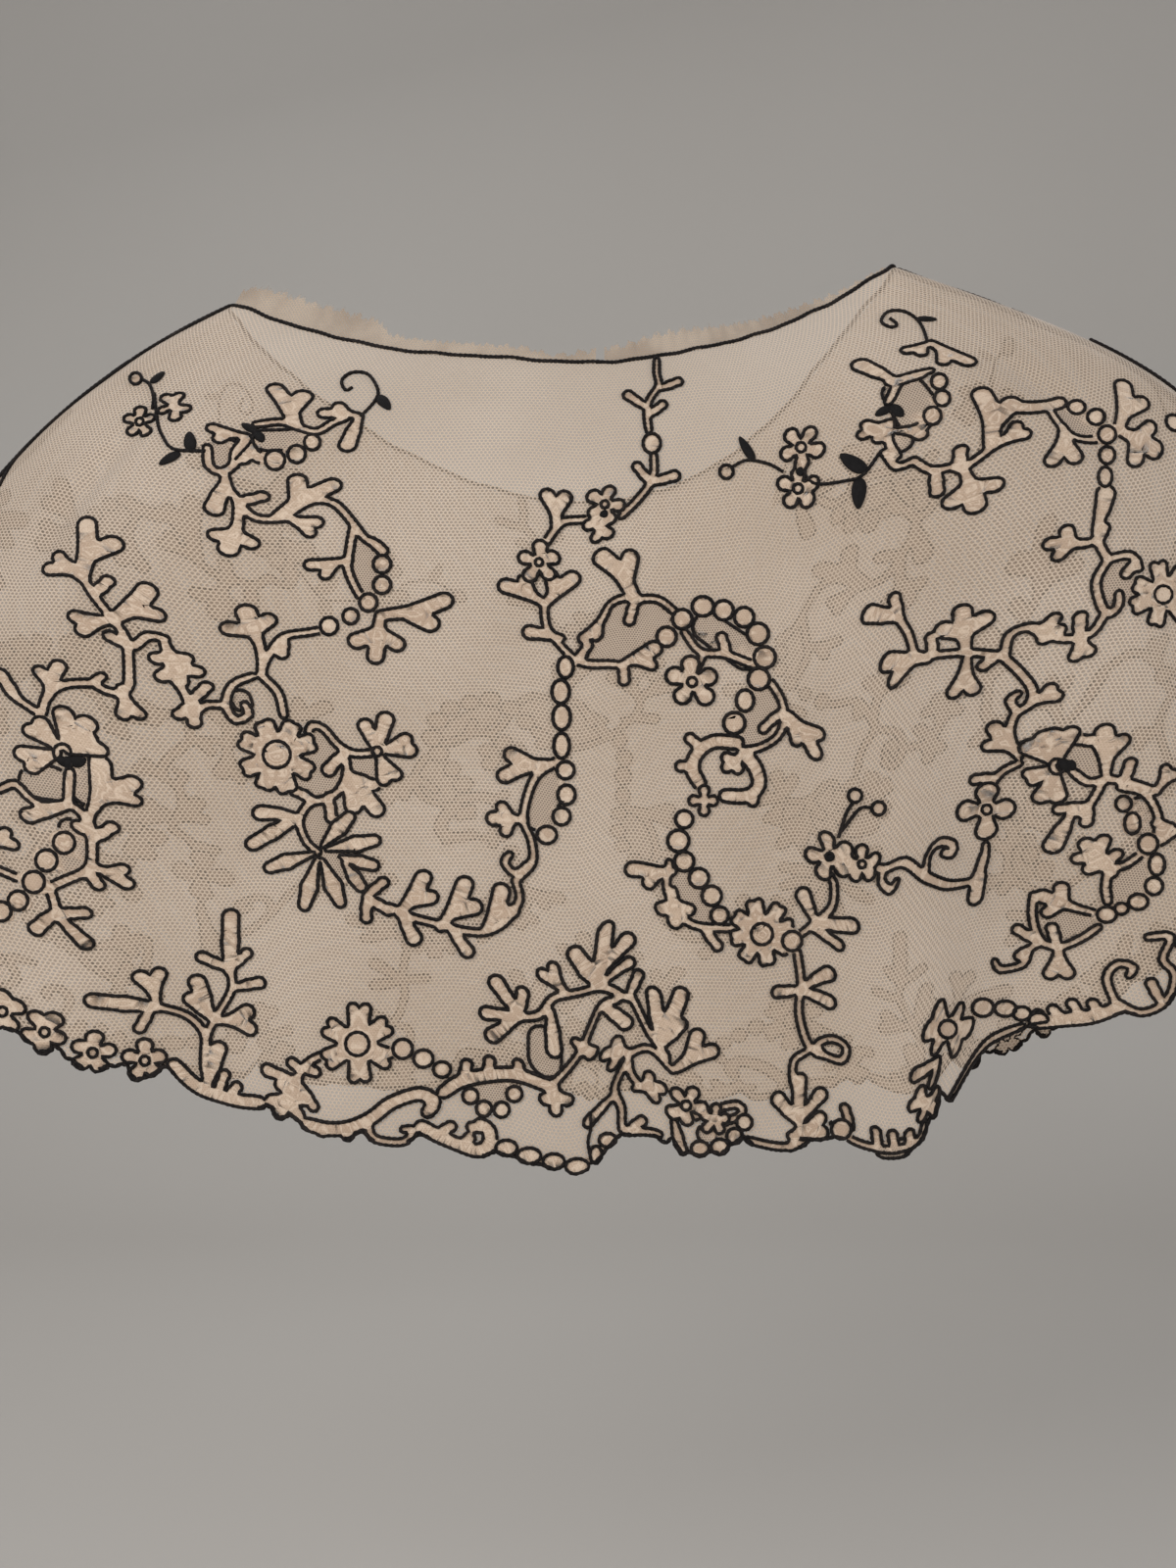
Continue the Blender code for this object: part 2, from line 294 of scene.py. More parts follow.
# Stems
# The applique is a second net laid on the first and cut away round a vine: its stems
# are narrow bands between two rows of black cord. Each row is one stem, by the places
# it passes in the view from behind. Rows off the view's sides finish the shoulders.
Place = namedtuple("Place", "x y")
STEMS = [
    # upper left
    [(212, 457), (214, 476), (226, 482), (239, 475), (241, 462), (252, 448)],
    [(262, 434), (287, 431), (306, 437), (324, 441), (340, 432), (352, 428)],
    [(229, 484), (234, 500), (243, 512), (243, 534)],
    [(245, 516), (262, 529), (287, 530)],
    [(290, 527), (318, 512), (341, 514), (361, 535), (372, 549), (386, 558)],
    [(361, 538), (357, 562), (355, 580), (362, 598), (370, 612)],
    [(340, 641), (318, 645), (290, 650), (275, 668), (267, 683)],
    [(265, 657), (268, 680), (267, 689)],
    # left sprig
    [(132, 698), (132, 680), (129, 652), (115, 632), (95, 606), (83, 586), (70, 574)],
    [(138, 660), (152, 649), (169, 652)],
    [(133, 696), (126, 707), (109, 705), (97, 697), (105, 690)],
    [(95, 697), (66, 699), (49, 710), (43, 730)],
    [(40, 728), (11, 707), (3, 687)],
    [(176, 690), (188, 706), (198, 725), (212, 719), (230, 720)],
    # left lower
    [(72, 787), (71, 802), (70, 819)],
    [(92, 842), (80, 826), (66, 821), (44, 822), (28, 812), (16, 800), (0, 806)],
    [(90, 838), (98, 820), (112, 804)],
    [(91, 836), (94, 856), (94, 878), (88, 889), (68, 898), (48, 907)],
    [(52, 908), (57, 925), (60, 938)],
    [(0, 888), (23, 897), (40, 893)],
    # centre left
    [(258, 690), (238, 699), (231, 719), (241, 735), (254, 729), (250, 719)],
    [(267, 689), (284, 707), (290, 730)],
    [(315, 748), (319, 740), (331, 744), (345, 760), (362, 769), (383, 768)],
    [
        (353, 772), (354, 790), (345, 808), (331, 816), (316, 820), (306, 838), (314, 860),
        (325, 869),
    ],
    [
        (398, 925), (418, 935), (448, 943), (470, 949), (494, 951), (515, 941), (530, 918),
        (526, 899),
    ],
    [(526, 899), (543, 880), (542, 857), (534, 834), (545, 795), (568, 776)],
    [(542, 880), (526, 891), (515, 880), (520, 872)],
    # centre
    [(670, 368), (670, 382), (672, 394), (663, 408), (660, 422), (662, 440)],
    [(667, 464), (666, 488), (650, 511), (634, 527)],
    [(599, 530), (577, 532), (566, 541), (556, 556)],
    [(555, 615), (557, 637), (566, 652), (584, 671)],
    [(648, 612), (634, 611), (621, 619), (611, 638)],
    [(648, 612), (671, 612), (690, 626)],
    [(698, 645), (714, 665), (740, 668), (770, 679)],
    [(590, 675), (612, 678), (632, 679)],
    [(716, 672), (708, 686)],
    [(786, 696), (797, 715), (800, 734), (793, 752), (775, 763), (756, 766)],
    [(683, 880), (681, 910), (702, 941), (733, 947), (760, 945)],
    [(842, 890), (850, 900), (848, 926), (827, 945), (812, 957)],
    [(813, 971), (817, 1002), (815, 1033), (823, 1063), (834, 1075)],
    [(834, 1075), (857, 1082), (863, 1069), (850, 1060), (834, 1065), (838, 1073)],
    [(823, 1073), (810, 1082), (809, 1102), (815, 1112)],
    # right middle
    [
        (892, 884), (901, 887), (922, 880), (944, 895), (968, 903), (991, 899), (1003, 880),
        (1005, 862),
    ],
    [(901, 887), (899, 900), (908, 908), (914, 900)],
    [(944, 895), (946, 874), (957, 860), (972, 862), (971, 871), (962, 870)],
    [(1008, 811), (1013, 797), (1024, 786), (1039, 779)],
    [
        (1039, 772), (1032, 757), (1030, 744), (1036, 728), (1049, 720), (1053, 704), (1040, 686),
        (1024, 671),
    ],
    [(1037, 726), (1030, 715), (1038, 708)],
    # upper right
    [(949, 379), (920, 388), (906, 411)],
    [(902, 462), (915, 477), (932, 470)],
    [(908, 434), (906, 450), (915, 466)],
    [(933, 471), (949, 480), (972, 477), (984, 477), (1012, 457)],
    [(1014, 456), (1015, 436), (1032, 417)],
    [(1070, 418), (1078, 430), (1094, 446), (1120, 449)],
    [(1121, 524), (1119, 549), (1130, 572)],
    [(1119, 552), (1104, 555)],
    [(1130, 571), (1118, 594), (1124, 620), (1133, 626), (1141, 617), (1141, 606)],
    [(1130, 571), (1153, 567), (1162, 580)],
    [(1127, 626), (1113, 646), (1087, 652), (1060, 646), (1050, 640), (1030, 648), (1024, 671)],
    [(1024, 669), (987, 666), (943, 669), (929, 666)],
    [(932, 665), (926, 646), (917, 632)],
    # right lower
    [(1118, 757), (1125, 773), (1129, 792)],
    [(1094, 787), (1110, 798), (1129, 795), (1150, 798), (1180, 808)],
    [(1124, 800), (1112, 820), (1101, 830)],
    [(1143, 803), (1167, 809), (1181, 832), (1180, 856)],
    [(1163, 872), (1147, 883), (1132, 888), (1128, 904), (1130, 920)],
    [(1119, 932), (1096, 926)],
    [(1054, 913), (1053, 937), (1062, 960), (1080, 966), (1102, 958), (1120, 946)],
    [(1062, 962), (1050, 968), (1043, 984), (1020, 989), (1014, 981)],
    # hem right
    [(1140, 1028), (1129, 998), (1141, 983), (1156, 987), (1152, 995)],
    [(1137, 1021), (1164, 1033), (1190, 1021), (1198, 994), (1186, 979), (1194, 956), (1171, 956)],
    [(968, 1132), (999, 1090), (1007, 1063), (1030, 1052)],
    [(1003, 1088), (1025, 1080), (1045, 1063)],
    [(1057, 1060), (1084, 1054), (1112, 1044), (1140, 1028)],
    [(850, 1147), (869, 1163), (899, 1188), (922, 1188), (940, 1166), (942, 1148)],
    # hem left and centre
    [(209, 1090), (209, 1056), (191, 1036), (161, 1027)],
    [(212, 1110), (209, 1080), (212, 1056), (222, 1036), (237, 1009), (235, 986)],
    [(304, 1102), (309, 1090), (318, 1082), (330, 1076)],
    [(376, 1146), (380, 1160), (396, 1168), (414, 1164), (422, 1153), (412, 1152)],
    [(515, 1040), (549, 1036), (568, 1017), (607, 1008), (637, 1017), (645, 1018)],
    [(565, 1105), (591, 1075), (603, 1048), (614, 1025), (630, 1021)],
    [(645, 1018), (664, 1056), (679, 1075), (679, 1082)],
    [(686, 1092), (664, 1070), (644, 1074)],
    [(641, 1080), (627, 1110), (634, 1130), (638, 1154), (673, 1157)],
    [(641, 1080), (644, 1096), (655, 1110)],
    [(700, 1142), (728, 1132), (752, 1127), (757, 1136), (740, 1144), (722, 1149)],
    [(762, 1163), (798, 1170), (820, 1166)],
    # past the left of the view, over the shoulder
    [(-4, 497), (-30, 520), (-62, 528), (-92, 516), (-118, 488)],
    [(-30, 520), (-44, 552), (-38, 584)],
    [(2, 687), (-26, 676), (-52, 690), (-72, 716), (-104, 724)],
    [(0, 888), (-30, 880), (-58, 862), (-92, 866), (-118, 884)],
    [(-72, 716), (-66, 750), (-80, 782)],
    [(-6, 1030), (-34, 1014), (-58, 1012), (-90, 996), (-118, 970)],
    # past the right of the view
    [(1196, 600), (1218, 590), (1236, 604), (1240, 634)],
    [(1181, 861), (1206, 846), (1224, 858), (1230, 884)],
]
# Stems that swell to a band twice as wide.
BANDS = [
    [(752, 758), (728, 757), (712, 768), (706, 784), (714, 800)],
    [(761, 771), (771, 785), (774, 802), (762, 812), (740, 812)],
    [(1034, 416), (1058, 416), (1080, 412)],
    [(178, 1086), (196, 1104), (214, 1116), (240, 1123), (266, 1125)],
    [
        (314, 1147), (336, 1152), (358, 1150), (380, 1140), (400, 1125), (428, 1116),
        (442, 1124), (437, 1134),
    ],
    [(430, 1149), (452, 1161), (484, 1177), (499, 1168), (499, 1153), (491, 1147)],
    [(453, 1114), (470, 1103), (498, 1097), (530, 1097), (562, 1108)],
    [(1140, 1028), (1112, 1038), (1084, 1050), (1062, 1056)],
]
# A vine over each shoulder, by turn and by share of the way down.
SHOULDER_STEMS = [
    [
        (88.0, 0.004), (87.4, 0.05), (88.2, 0.11), (87.0, 0.18), (88.2, 0.26), (87.0, 0.35),
        (88.0, 0.46),
    ],
    [(-88.0, 0.24), (-87.2, 0.31), (-88.2, 0.38), (-87.0, 0.46)],
    [
        (-87.0, 0.46), (-84.5, 0.53), (-81.0, 0.60), (-80.5, 0.68), (-83.5, 0.76),
        (-84.0, 0.84), (-80.0, 0.92),
    ],
    [(-80.8, 0.64), (-77.5, 0.67), (-75.5, 0.71)],
    [(-83.8, 0.78), (-86.6, 0.74), (-87.6, 0.69)],
    [(-83.5, 0.86), (-77.5, 0.84), (-73.0, 0.80)],
    [(88.0, 0.46), (85.6, 0.50)],
    [(87.6, 0.64), (84.0, 0.72), (84.4, 0.80), (87.0, 0.87)],
    [(84.0, 0.75), (79.5, 0.80), (77.0, 0.86)],
]
STEM_HALF_WIDTH = 1.45
BAND_HALF_WIDTH = 2.7
STEM_STEP = 3.0


def smooth_route(points, step, closed=False):
    """Places a step apart on a Catmull-Rom curve through the points."""
    points = np.array(points, dtype=float)
    if len(points) == 2 and not closed:
        count = max(2, int(np.linalg.norm(points[1] - points[0]) / step) + 1)
        return points[0] + (points[1] - points[0]) * np.linspace(0, 1, count)[:, None]
    if closed:
        padded = np.vstack([points[-1], points, points[0], points[1]])
    else:
        padded = np.vstack([2 * points[0] - points[1], points, 2 * points[-1] - points[-2]])
    pieces = []
    for before, start, end, after in zip(padded, padded[1:], padded[2:], padded[3:]):
        count = max(2, int(np.linalg.norm(end - start) / step) + 1)
        t = np.linspace(0.0, 1.0, count, endpoint=False)[:, None]
        pieces.append(curve_between(before, start, end, after, t))
    if not closed:
        pieces.append(points[-1:])
    return np.vstack(pieces)


# A chart of the back cut, laid flat, holds how far each place is from a shape's edge.
CHART_CELL = 0.6
CHART_LEFT, CHART_RIGHT = -400.0, 400.0
CHART_LOW, CHART_HIGH = -742.0, -286.0
FAR_OFF = 60.0
CROTCH_ROUNDING = 0.9
BAR_MARGIN = 9.0
LEAST_BAR = 1e-6
chart_x = np.arange(CHART_LEFT, CHART_RIGHT, CHART_CELL)
chart_y = np.arange(CHART_LOW, CHART_HIGH, CHART_CELL)


def blank_chart():
    return np.full((len(chart_x), len(chart_y)), FAR_OFF)


def add_taper(chart, start, end, start_radius, end_radius):
    """Adds a round-ended bar to a chart, softly joined to what is there."""
    start, end = np.array(start), np.array(end)
    margin = max(start_radius, end_radius) + BAR_MARGIN
    low = np.minimum(start, end) - margin
    high = np.maximum(start, end) + margin
    a, b = np.searchsorted(chart_x, [low[0], high[0]])
    c, d = np.searchsorted(chart_y, [low[1], high[1]])
    if a >= b or c >= d:
        return
    x = chart_x[a:b, None] - start[0]
    y = chart_y[None, c:d] - start[1]
    line = end - start
    length = max(line @ line, LEAST_BAR)
    t = np.clip((x * line[0] + y * line[1]) / length, 0.0, 1.0)
    gap = np.hypot(x - t * line[0], y - t * line[1])
    gap -= start_radius + (end_radius - start_radius) * t
    held = chart[a:b, c:d]
    soft = np.maximum(CROTCH_ROUNDING - np.abs(held - gap), 0.0) / CROTCH_ROUNDING
    chart[a:b, c:d] = np.minimum(held, gap) - soft * soft * CROTCH_ROUNDING / 4.0


def add_route(chart, points, radius):
    for start, end in zip(points, points[1:]):
        add_taper(chart, start, end, radius, radius)


def on_cut(row):
    """A row of places in the view, on the flat cut."""
    return [picture_to_flat(spot.x, spot.y) for spot in (Place(*pair) for pair in row)]


vine = blank_chart()
for stems, half_width in ((STEMS, STEM_HALF_WIDTH), (BANDS, BAND_HALF_WIDTH)):
    for row in stems:
        add_route(vine, smooth_route(on_cut(row), STEM_STEP), half_width)
for row in SHOULDER_STEMS:
    spots = [np.array(flat_place(turn, down)) for turn, down in row]
    add_route(vine, smooth_route(spots, STEM_STEP), STEM_HALF_WIDTH)

# Leaves
# The same cut net, in leaves with round lobes like coral or oak. Each kind is a few
# round-ended bars; a leaf is set from its foot to its tip, by where both show.
LeafBar = namedtuple("LeafBar", "from_x from_y to_x to_y from_radius to_radius")
LEAF_KINDS = {
    "club": [(0, 0, 0.45, 0, 0.08, 0.15), (0.45, 0, 0.85, 0, 0.15, 0.20)],
    "fork": [
        (0, 0, 0.46, 0, 0.09, 0.16), (0.40, 0, 0.82, 0.19, 0.15, 0.18),
        (0.40, 0, 0.79, -0.21, 0.15, 0.18),
    ],
    "petal": [(0.16, 0, 0.82, 0.17, 0.06, 0.19), (0.16, 0, 0.80, -0.17, 0.06, 0.19)],
    "trefoil": [
        (0, 0, 0.48, 0, 0.09, 0.16), (0.45, 0, 0.84, 0.02, 0.16, 0.19),
        (0.36, 0, 0.57, 0.34, 0.14, 0.17), (0.36, 0, 0.55, -0.35, 0.14, 0.17),
    ],
    "oak": [
        (0, 0, 0.62, 0, 0.10, 0.18), (0.60, 0, 0.88, 0.02, 0.16, 0.15),
        (0.28, 0, 0.32, 0.27, 0.12, 0.13), (0.28, 0, 0.36, -0.27, 0.12, 0.13),
        (0.54, 0, 0.74, 0.30, 0.14, 0.13), (0.52, 0, 0.70, -0.31, 0.14, 0.13),
    ],
    "mitten": [
        (0, 0, 0.50, 0.02, 0.09, 0.16), (0.46, 0.02, 0.86, -0.07, 0.16, 0.17),
        (0.38, 0.06, 0.60, 0.27, 0.14, 0.14),
    ],
    "comb": [
        (0, 0, 0.97, 0, 0.04, 0.04), (0.20, 0, 0.25, 0.13, 0.05, 0.06),
        (0.42, 0, 0.48, 0.16, 0.05, 0.065), (0.64, 0, 0.72, 0.15, 0.05, 0.065),
        (0.84, 0, 0.92, 0.11, 0.05, 0.06),
    ],
}
Leaf = namedtuple("Leaf", "kind foot_x foot_y tip_x tip_y hand", defaults=(1,))
LEAVES = [
    # upper left
    ("mitten", 250, 446, 212, 438, -1), ("fork", 252, 446, 257, 474),
    ("mitten", 302, 434, 285, 392), ("mitten", 366, 425, 327, 420), ("club", 367, 426, 353, 460),
    # down the left vine
    ("club", 230, 492, 217, 524), ("club", 243, 513, 272, 506), ("trefoil", 244, 532, 233, 566),
    ("mitten", 286, 527, 344, 488, -1), ("fork", 290, 527, 326, 542),
    ("mitten", 356, 572, 312, 580, -1), ("club", 380, 552, 392, 564),
    ("mitten", 392, 628, 464, 615), ("trefoil", 388, 628, 384, 678),
    ("club", 290, 651, 288, 670), ("trefoil", 266, 660, 248, 619),
    # left sprig
    ("mitten", 84, 588, 97, 528), ("fork", 86, 590, 51, 571), ("club", 97, 607, 113, 591),
    ("mitten", 117, 632, 161, 602), ("fork", 119, 633, 73, 637), ("club", 131, 659, 110, 648),
    ("oak", 169, 658, 188, 700), ("club", 198, 714, 213, 699), ("club", 199, 717, 181, 731),
    ("club", 198, 717, 199, 741), ("fork", 124, 702, 136, 735), ("mitten", 50, 711, 58, 674, -1),
    ("club", 20, 714, 1, 688),
    # left lower
    ("club", 66, 824, 24, 834), ("mitten", 97, 824, 109, 774), ("mitten", 102, 818, 144, 799),
    ("club", 95, 857, 118, 842), ("club", 90, 850, 79, 842), ("mitten", 94, 883, 137, 902, -1),
    ("club", 90, 888, 102, 905), ("club", 57, 930, 34, 951), ("club", 58, 932, 92, 931),
    ("club", 59, 934, 92, 966), ("fork", -16, 862, 16, 854),
    # centre left
    ("club", 352, 766, 333, 789), ("club", 356, 790, 387, 803), ("club", 355, 788, 389, 832),
    ("club", 354, 788, 362, 828), ("club", 336, 812, 339, 838), ("club", 320, 816, 299, 806),
    ("club", 306, 834, 260, 829), ("club", 300, 838, 252, 865), ("club", 374, 914, 394, 898),
    ("club", 376, 916, 400, 931), ("club", 374, 916, 374, 940), ("mitten", 408, 932, 439, 892),
    ("club", 408, 930, 425, 962), ("mitten", 450, 946, 482, 898), ("club", 458, 945, 480, 975),
    ("mitten", 496, 948, 518, 905), ("mitten", 560, 780, 506, 790),
    ("trefoil", 535, 836, 498, 836),
    # centre
    ("club", 674, 397, 695, 389), ("club", 660, 417, 638, 402), ("club", 663, 424, 678, 412),
    ("club", 664, 494, 648, 474), ("club", 664, 493, 692, 485), ("fork", 566, 538, 569, 500),
    ("mitten", 555, 616, 512, 593), ("mitten", 557, 616, 585, 584, -1),
    ("club", 573, 651, 535, 645), ("mitten", 648, 612, 614, 558), ("club", 648, 612, 641, 637),
    ("mitten", 618, 627, 594, 656, -1), ("club", 588, 676, 601, 657),
    ("mitten", 634, 679, 675, 662), ("club", 636, 678, 637, 697), ("club", 742, 668, 735, 648),
    ("club", 798, 726, 776, 746), ("mitten", 805, 730, 838, 772, -1),
    ("club", 806, 734, 813, 760), ("club", 716, 764, 702, 752), ("club", 710, 782, 692, 782),
    ("trefoil", 757, 769, 739, 786), ("club", 770, 802, 768, 820),
    ("mitten", 686, 889, 640, 892, -1), ("trefoil", 687, 908, 690, 946),
    ("club", 718, 948, 734, 968), ("club", 832, 942, 817, 908), ("club", 831, 944, 875, 944),
    ("club", 830, 948, 859, 967), ("club", 817, 1010, 789, 1012), ("club", 818, 1009, 849, 992),
    ("club", 818, 1012, 850, 1025), ("club", 814, 1145, 790, 1117),
    ("club", 815, 1142, 815, 1096), ("club", 816, 1144, 840, 1113),
    ("club", 816, 1148, 806, 1172),
    # right middle
    ("club", 1002, 874, 993, 922), ("fork", 1050, 718, 1080, 704),
    ("mitten", 1039, 770, 1007, 741, -1), ("club", 1016, 793, 991, 796),
    ("club", 1018, 668, 1001, 681),
    # upper right
    ("mitten", 950, 351, 923, 361, -1), ("mitten", 950, 351, 989, 374),
    ("club", 940, 384, 904, 391), ("club", 912, 389, 873, 371), ("trefoil", 908, 431, 876, 447),
    ("fork", 916, 440, 946, 440), ("club", 954, 480, 956, 506), ("club", 978, 480, 980, 457),
    ("trefoil", 984, 482, 998, 522), ("mitten", 1011, 453, 1005, 395),
    ("fork", 1015, 455, 1047, 437), ("fork", 1084, 436, 1085, 476),
    ("mitten", 1141, 438, 1150, 391), ("trefoil", 1142, 440, 1184, 462),
    ("club", 1119, 540, 1129, 498), ("club", 1120, 553, 1126, 537),
    ("trefoil", 1108, 555, 1064, 556), ("club", 1160, 573, 1147, 587),
    ("club", 1101, 648, 1102, 627), ("fork", 1101, 646, 1104, 672),
    ("trefoil", 1050, 640, 1086, 643), ("club", 919, 632, 881, 626),
    ("club", 918, 632, 911, 607), ("club", 952, 669, 949, 648), ("trefoil", 985, 662, 979, 618),
    ("mitten", 946, 673, 898, 683, -1), ("fork", 986, 673, 981, 712),
    # right lower
    ("mitten", 1129, 785, 1131, 740), ("club", 1122, 757, 1097, 754),
    ("club", 1147, 797, 1154, 776), ("fork", 1180, 806, 1196, 784),
    ("club", 1108, 822, 1076, 826), ("club", 1094, 828, 1071, 868),
    ("club", 1110, 822, 1108, 841), ("oak", 1135, 891, 1103, 858),
    ("trefoil", 1100, 927, 1056, 913), ("club", 1058, 961, 1034, 946),
    ("fork", 1080, 965, 1079, 999), ("club", 1078, 963, 1072, 944),
    ("club", 1049, 968, 1038, 976), ("club", 1178, 840, 1196, 846),
    # hem right
    ("comb", 1140, 1030, 1057, 1060), ("club", 1184, 1022, 1173, 1000),
    ("club", 956, 1082, 930, 1098), ("club", 956, 1086, 950, 1106),
    ("club", 868, 1150, 861, 1128), ("club", 897, 1184, 893, 1152),
    ("club", 914, 1186, 910, 1156), ("club", 930, 1180, 927, 1156),
    # hem left and centre
    ("club", 213, 1106, 225, 1064), ("club", 222, 1118, 231, 1093),
    ("club", 232, 1122, 244, 1107), ("club", 160, 1028, 84, 1019),
    ("club", 154, 1030, 141, 1052), ("fork", 160, 1024, 152, 988),
    ("club", 217, 1040, 191, 1015), ("club", 216, 1036, 199, 996), ("club", 235, 990, 236, 925),
    ("club", 233, 988, 202, 974), ("club", 236, 988, 255, 970), ("club", 240, 1008, 270, 1002),
    ("fork", 220, 1042, 262, 1042), ("club", 303, 1102, 269, 1090),
    ("oak", 304, 1100, 284, 1144), ("club", 308, 1092, 297, 1083),
    ("club", 308, 1108, 322, 1132), ("club", 309, 1090, 324, 1094),
    ("club", 326, 1150, 328, 1166), ("club", 352, 1150, 355, 1165),
    ("club", 447, 1156, 462, 1148), ("club", 470, 1170, 481, 1159),
    ("club", 472, 1103, 477, 1083), ("club", 498, 1098, 500, 1080),
    ("club", 530, 1098, 529, 1084), ("club", 530, 1038, 491, 1033),
    ("club", 529, 1036, 503, 997), ("club", 530, 1036, 534, 1009),
    ("club", 528, 1040, 499, 1059), ("fork", 578, 1014, 555, 985),
    ("club", 562, 1032, 566, 1078), ("club", 612, 1004, 582, 966), ("club", 612, 1000, 619, 940),
    ("club", 615, 1004, 646, 980), ("club", 614, 994, 644, 955), ("club", 616, 1028, 642, 1047),
    ("club", 586, 1062, 607, 1076), ("club", 642, 1016, 653, 991),
    ("club", 674, 1064, 666, 1006), ("club", 676, 1062, 698, 1006),
    ("club", 678, 1064, 698, 1041), ("fork", 690, 1090, 726, 1059),
    ("trefoil", 646, 1074, 613, 1078), ("club", 628, 1116, 598, 1147),
    ("club", 640, 1154, 657, 1142), ("trefoil", 648, 1110, 679, 1110),
    ("club", 688, 1144, 696, 1177), ("fork", 806, 1158, 844, 1148),
    ("trefoil", 566, 1104, 568, 1138), ("club", 494, 1150, 480, 1150),
    # past the left of the view
    ("trefoil", -96, 512, -128, 470), ("fork", -62, 528, -72, 564),
    ("trefoil", -38, 584, -52, 622), ("club", -30, 520, -18, 498), ("fork", -88, 518, -92, 484),
    ("trefoil", -104, 724, -134, 716), ("fork", -52, 690, -46, 662),
    ("oak", -80, 782, -102, 816), ("fork", -68, 752, -42, 766),
    ("trefoil", -118, 884, -142, 906), ("fork", -58, 862, -62, 832),
    ("fork", -30, 880, -36, 912), ("mitten", -58, 1012, -52, 962), ("fork", -90, 996, -98, 958),
    ("fork", -34, 1014, -14, 990), ("trefoil", -118, 970, -142, 944),
    ("oak", -150, 600, -128, 644), ("oak", -160, 800, -140, 846),
    # past the right of the view
    ("trefoil", 1240, 634, 1238, 668), ("fork", 1222, 592, 1230, 566),
    ("trefoil", 1230, 884, 1226, 918), ("fork", 1208, 846, 1216, 818),
    ("mitten", 1226, 470, 1236, 524), ("fork", 1224, 744, 1232, 706),
    ("mitten", 1216, 1004, 1232, 958), ("oak", 1226, 420, 1210, 466),
]
LEAF_LEAST_RADIUS = 2.4
LEAF_MOST_RADIUS = 3.5
LEAF_UNEVEN = 0.09
LOBE_UNEVEN = 0.12
draw = np.random.default_rng(11)


def add_leaf(chart, kind, foot, tip, hand):
    """Lays a leaf's bars from its foot to its tip, a little uneven as hand cutting is."""
    run = tip - foot
    side = np.array([-run[1], run[0]]) * hand
    length = math.hypot(*run)
    for bar in (LeafBar(*row) for row in LEAF_KINDS[kind]):
        wide = 1.0 + draw.uniform(-LEAF_UNEVEN, LEAF_UNEVEN)
        start = foot + run * bar.from_x + side * bar.from_y
        lean = bar.to_y * (1.0 + draw.uniform(-LOBE_UNEVEN, LOBE_UNEVEN))
        end = foot + run * bar.to_x + side * lean
        start_radius, end_radius = (
            min(max(radius * length * wide, least), LEAF_MOST_RADIUS * wide)
            for radius, least in (
                (bar.from_radius, STEM_HALF_WIDTH), (bar.to_radius, LEAF_LEAST_RADIUS)
            )
        )
        add_taper(chart, start, end, start_radius, end_radius)


def add_seen_leaf(chart, leaf):
    foot = picture_to_flat(leaf.foot_x, leaf.foot_y)
    add_leaf(chart, leaf.kind, foot, picture_to_flat(leaf.tip_x, leaf.tip_y), leaf.hand)


for leaf in (Leaf(*row) for row in LEAVES):
    add_seen_leaf(vine, leaf)

# Leaves over the shoulders, by turn and by share of the way down.
ShoulderLeaf = namedtuple("ShoulderLeaf", "kind foot_turn foot_down tip_turn tip_down")
SHOULDER_LEAVES = [
    ("mitten", -84.5, 0.53, -80.2, 0.50), ("fork", -81.2, 0.61, -85.6, 0.63),
    ("trefoil", -75.5, 0.71, -75.0, 0.76), ("fork", -77.8, 0.67, -77.0, 0.62),
    ("trefoil", -87.6, 0.69, -85.2, 0.66), ("mitten", -84.0, 0.84, -88.0, 0.86),
    ("trefoil", -73.0, 0.80, -69.6, 0.79), ("fork", -78.0, 0.84, -76.6, 0.89),
    ("trefoil", 85.6, 0.50, 82.6, 0.47), ("mitten", 85.4, 0.69, 88.4, 0.73),
    ("fork", 79.6, 0.80, 79.8, 0.74), ("trefoil", 77.0, 0.86, 75.6, 0.90),
    ("trefoil", 87.0, 0.87, 87.4, 0.92), ("fork", 84.2, 0.81, 81.4, 0.86),
]
for leaf in (ShoulderLeaf(*row) for row in SHOULDER_LEAVES):
    foot = np.array(flat_place(leaf.foot_turn, leaf.foot_down))
    add_leaf(vine, leaf.kind, foot, np.array(flat_place(leaf.tip_turn, leaf.tip_down)), 1)

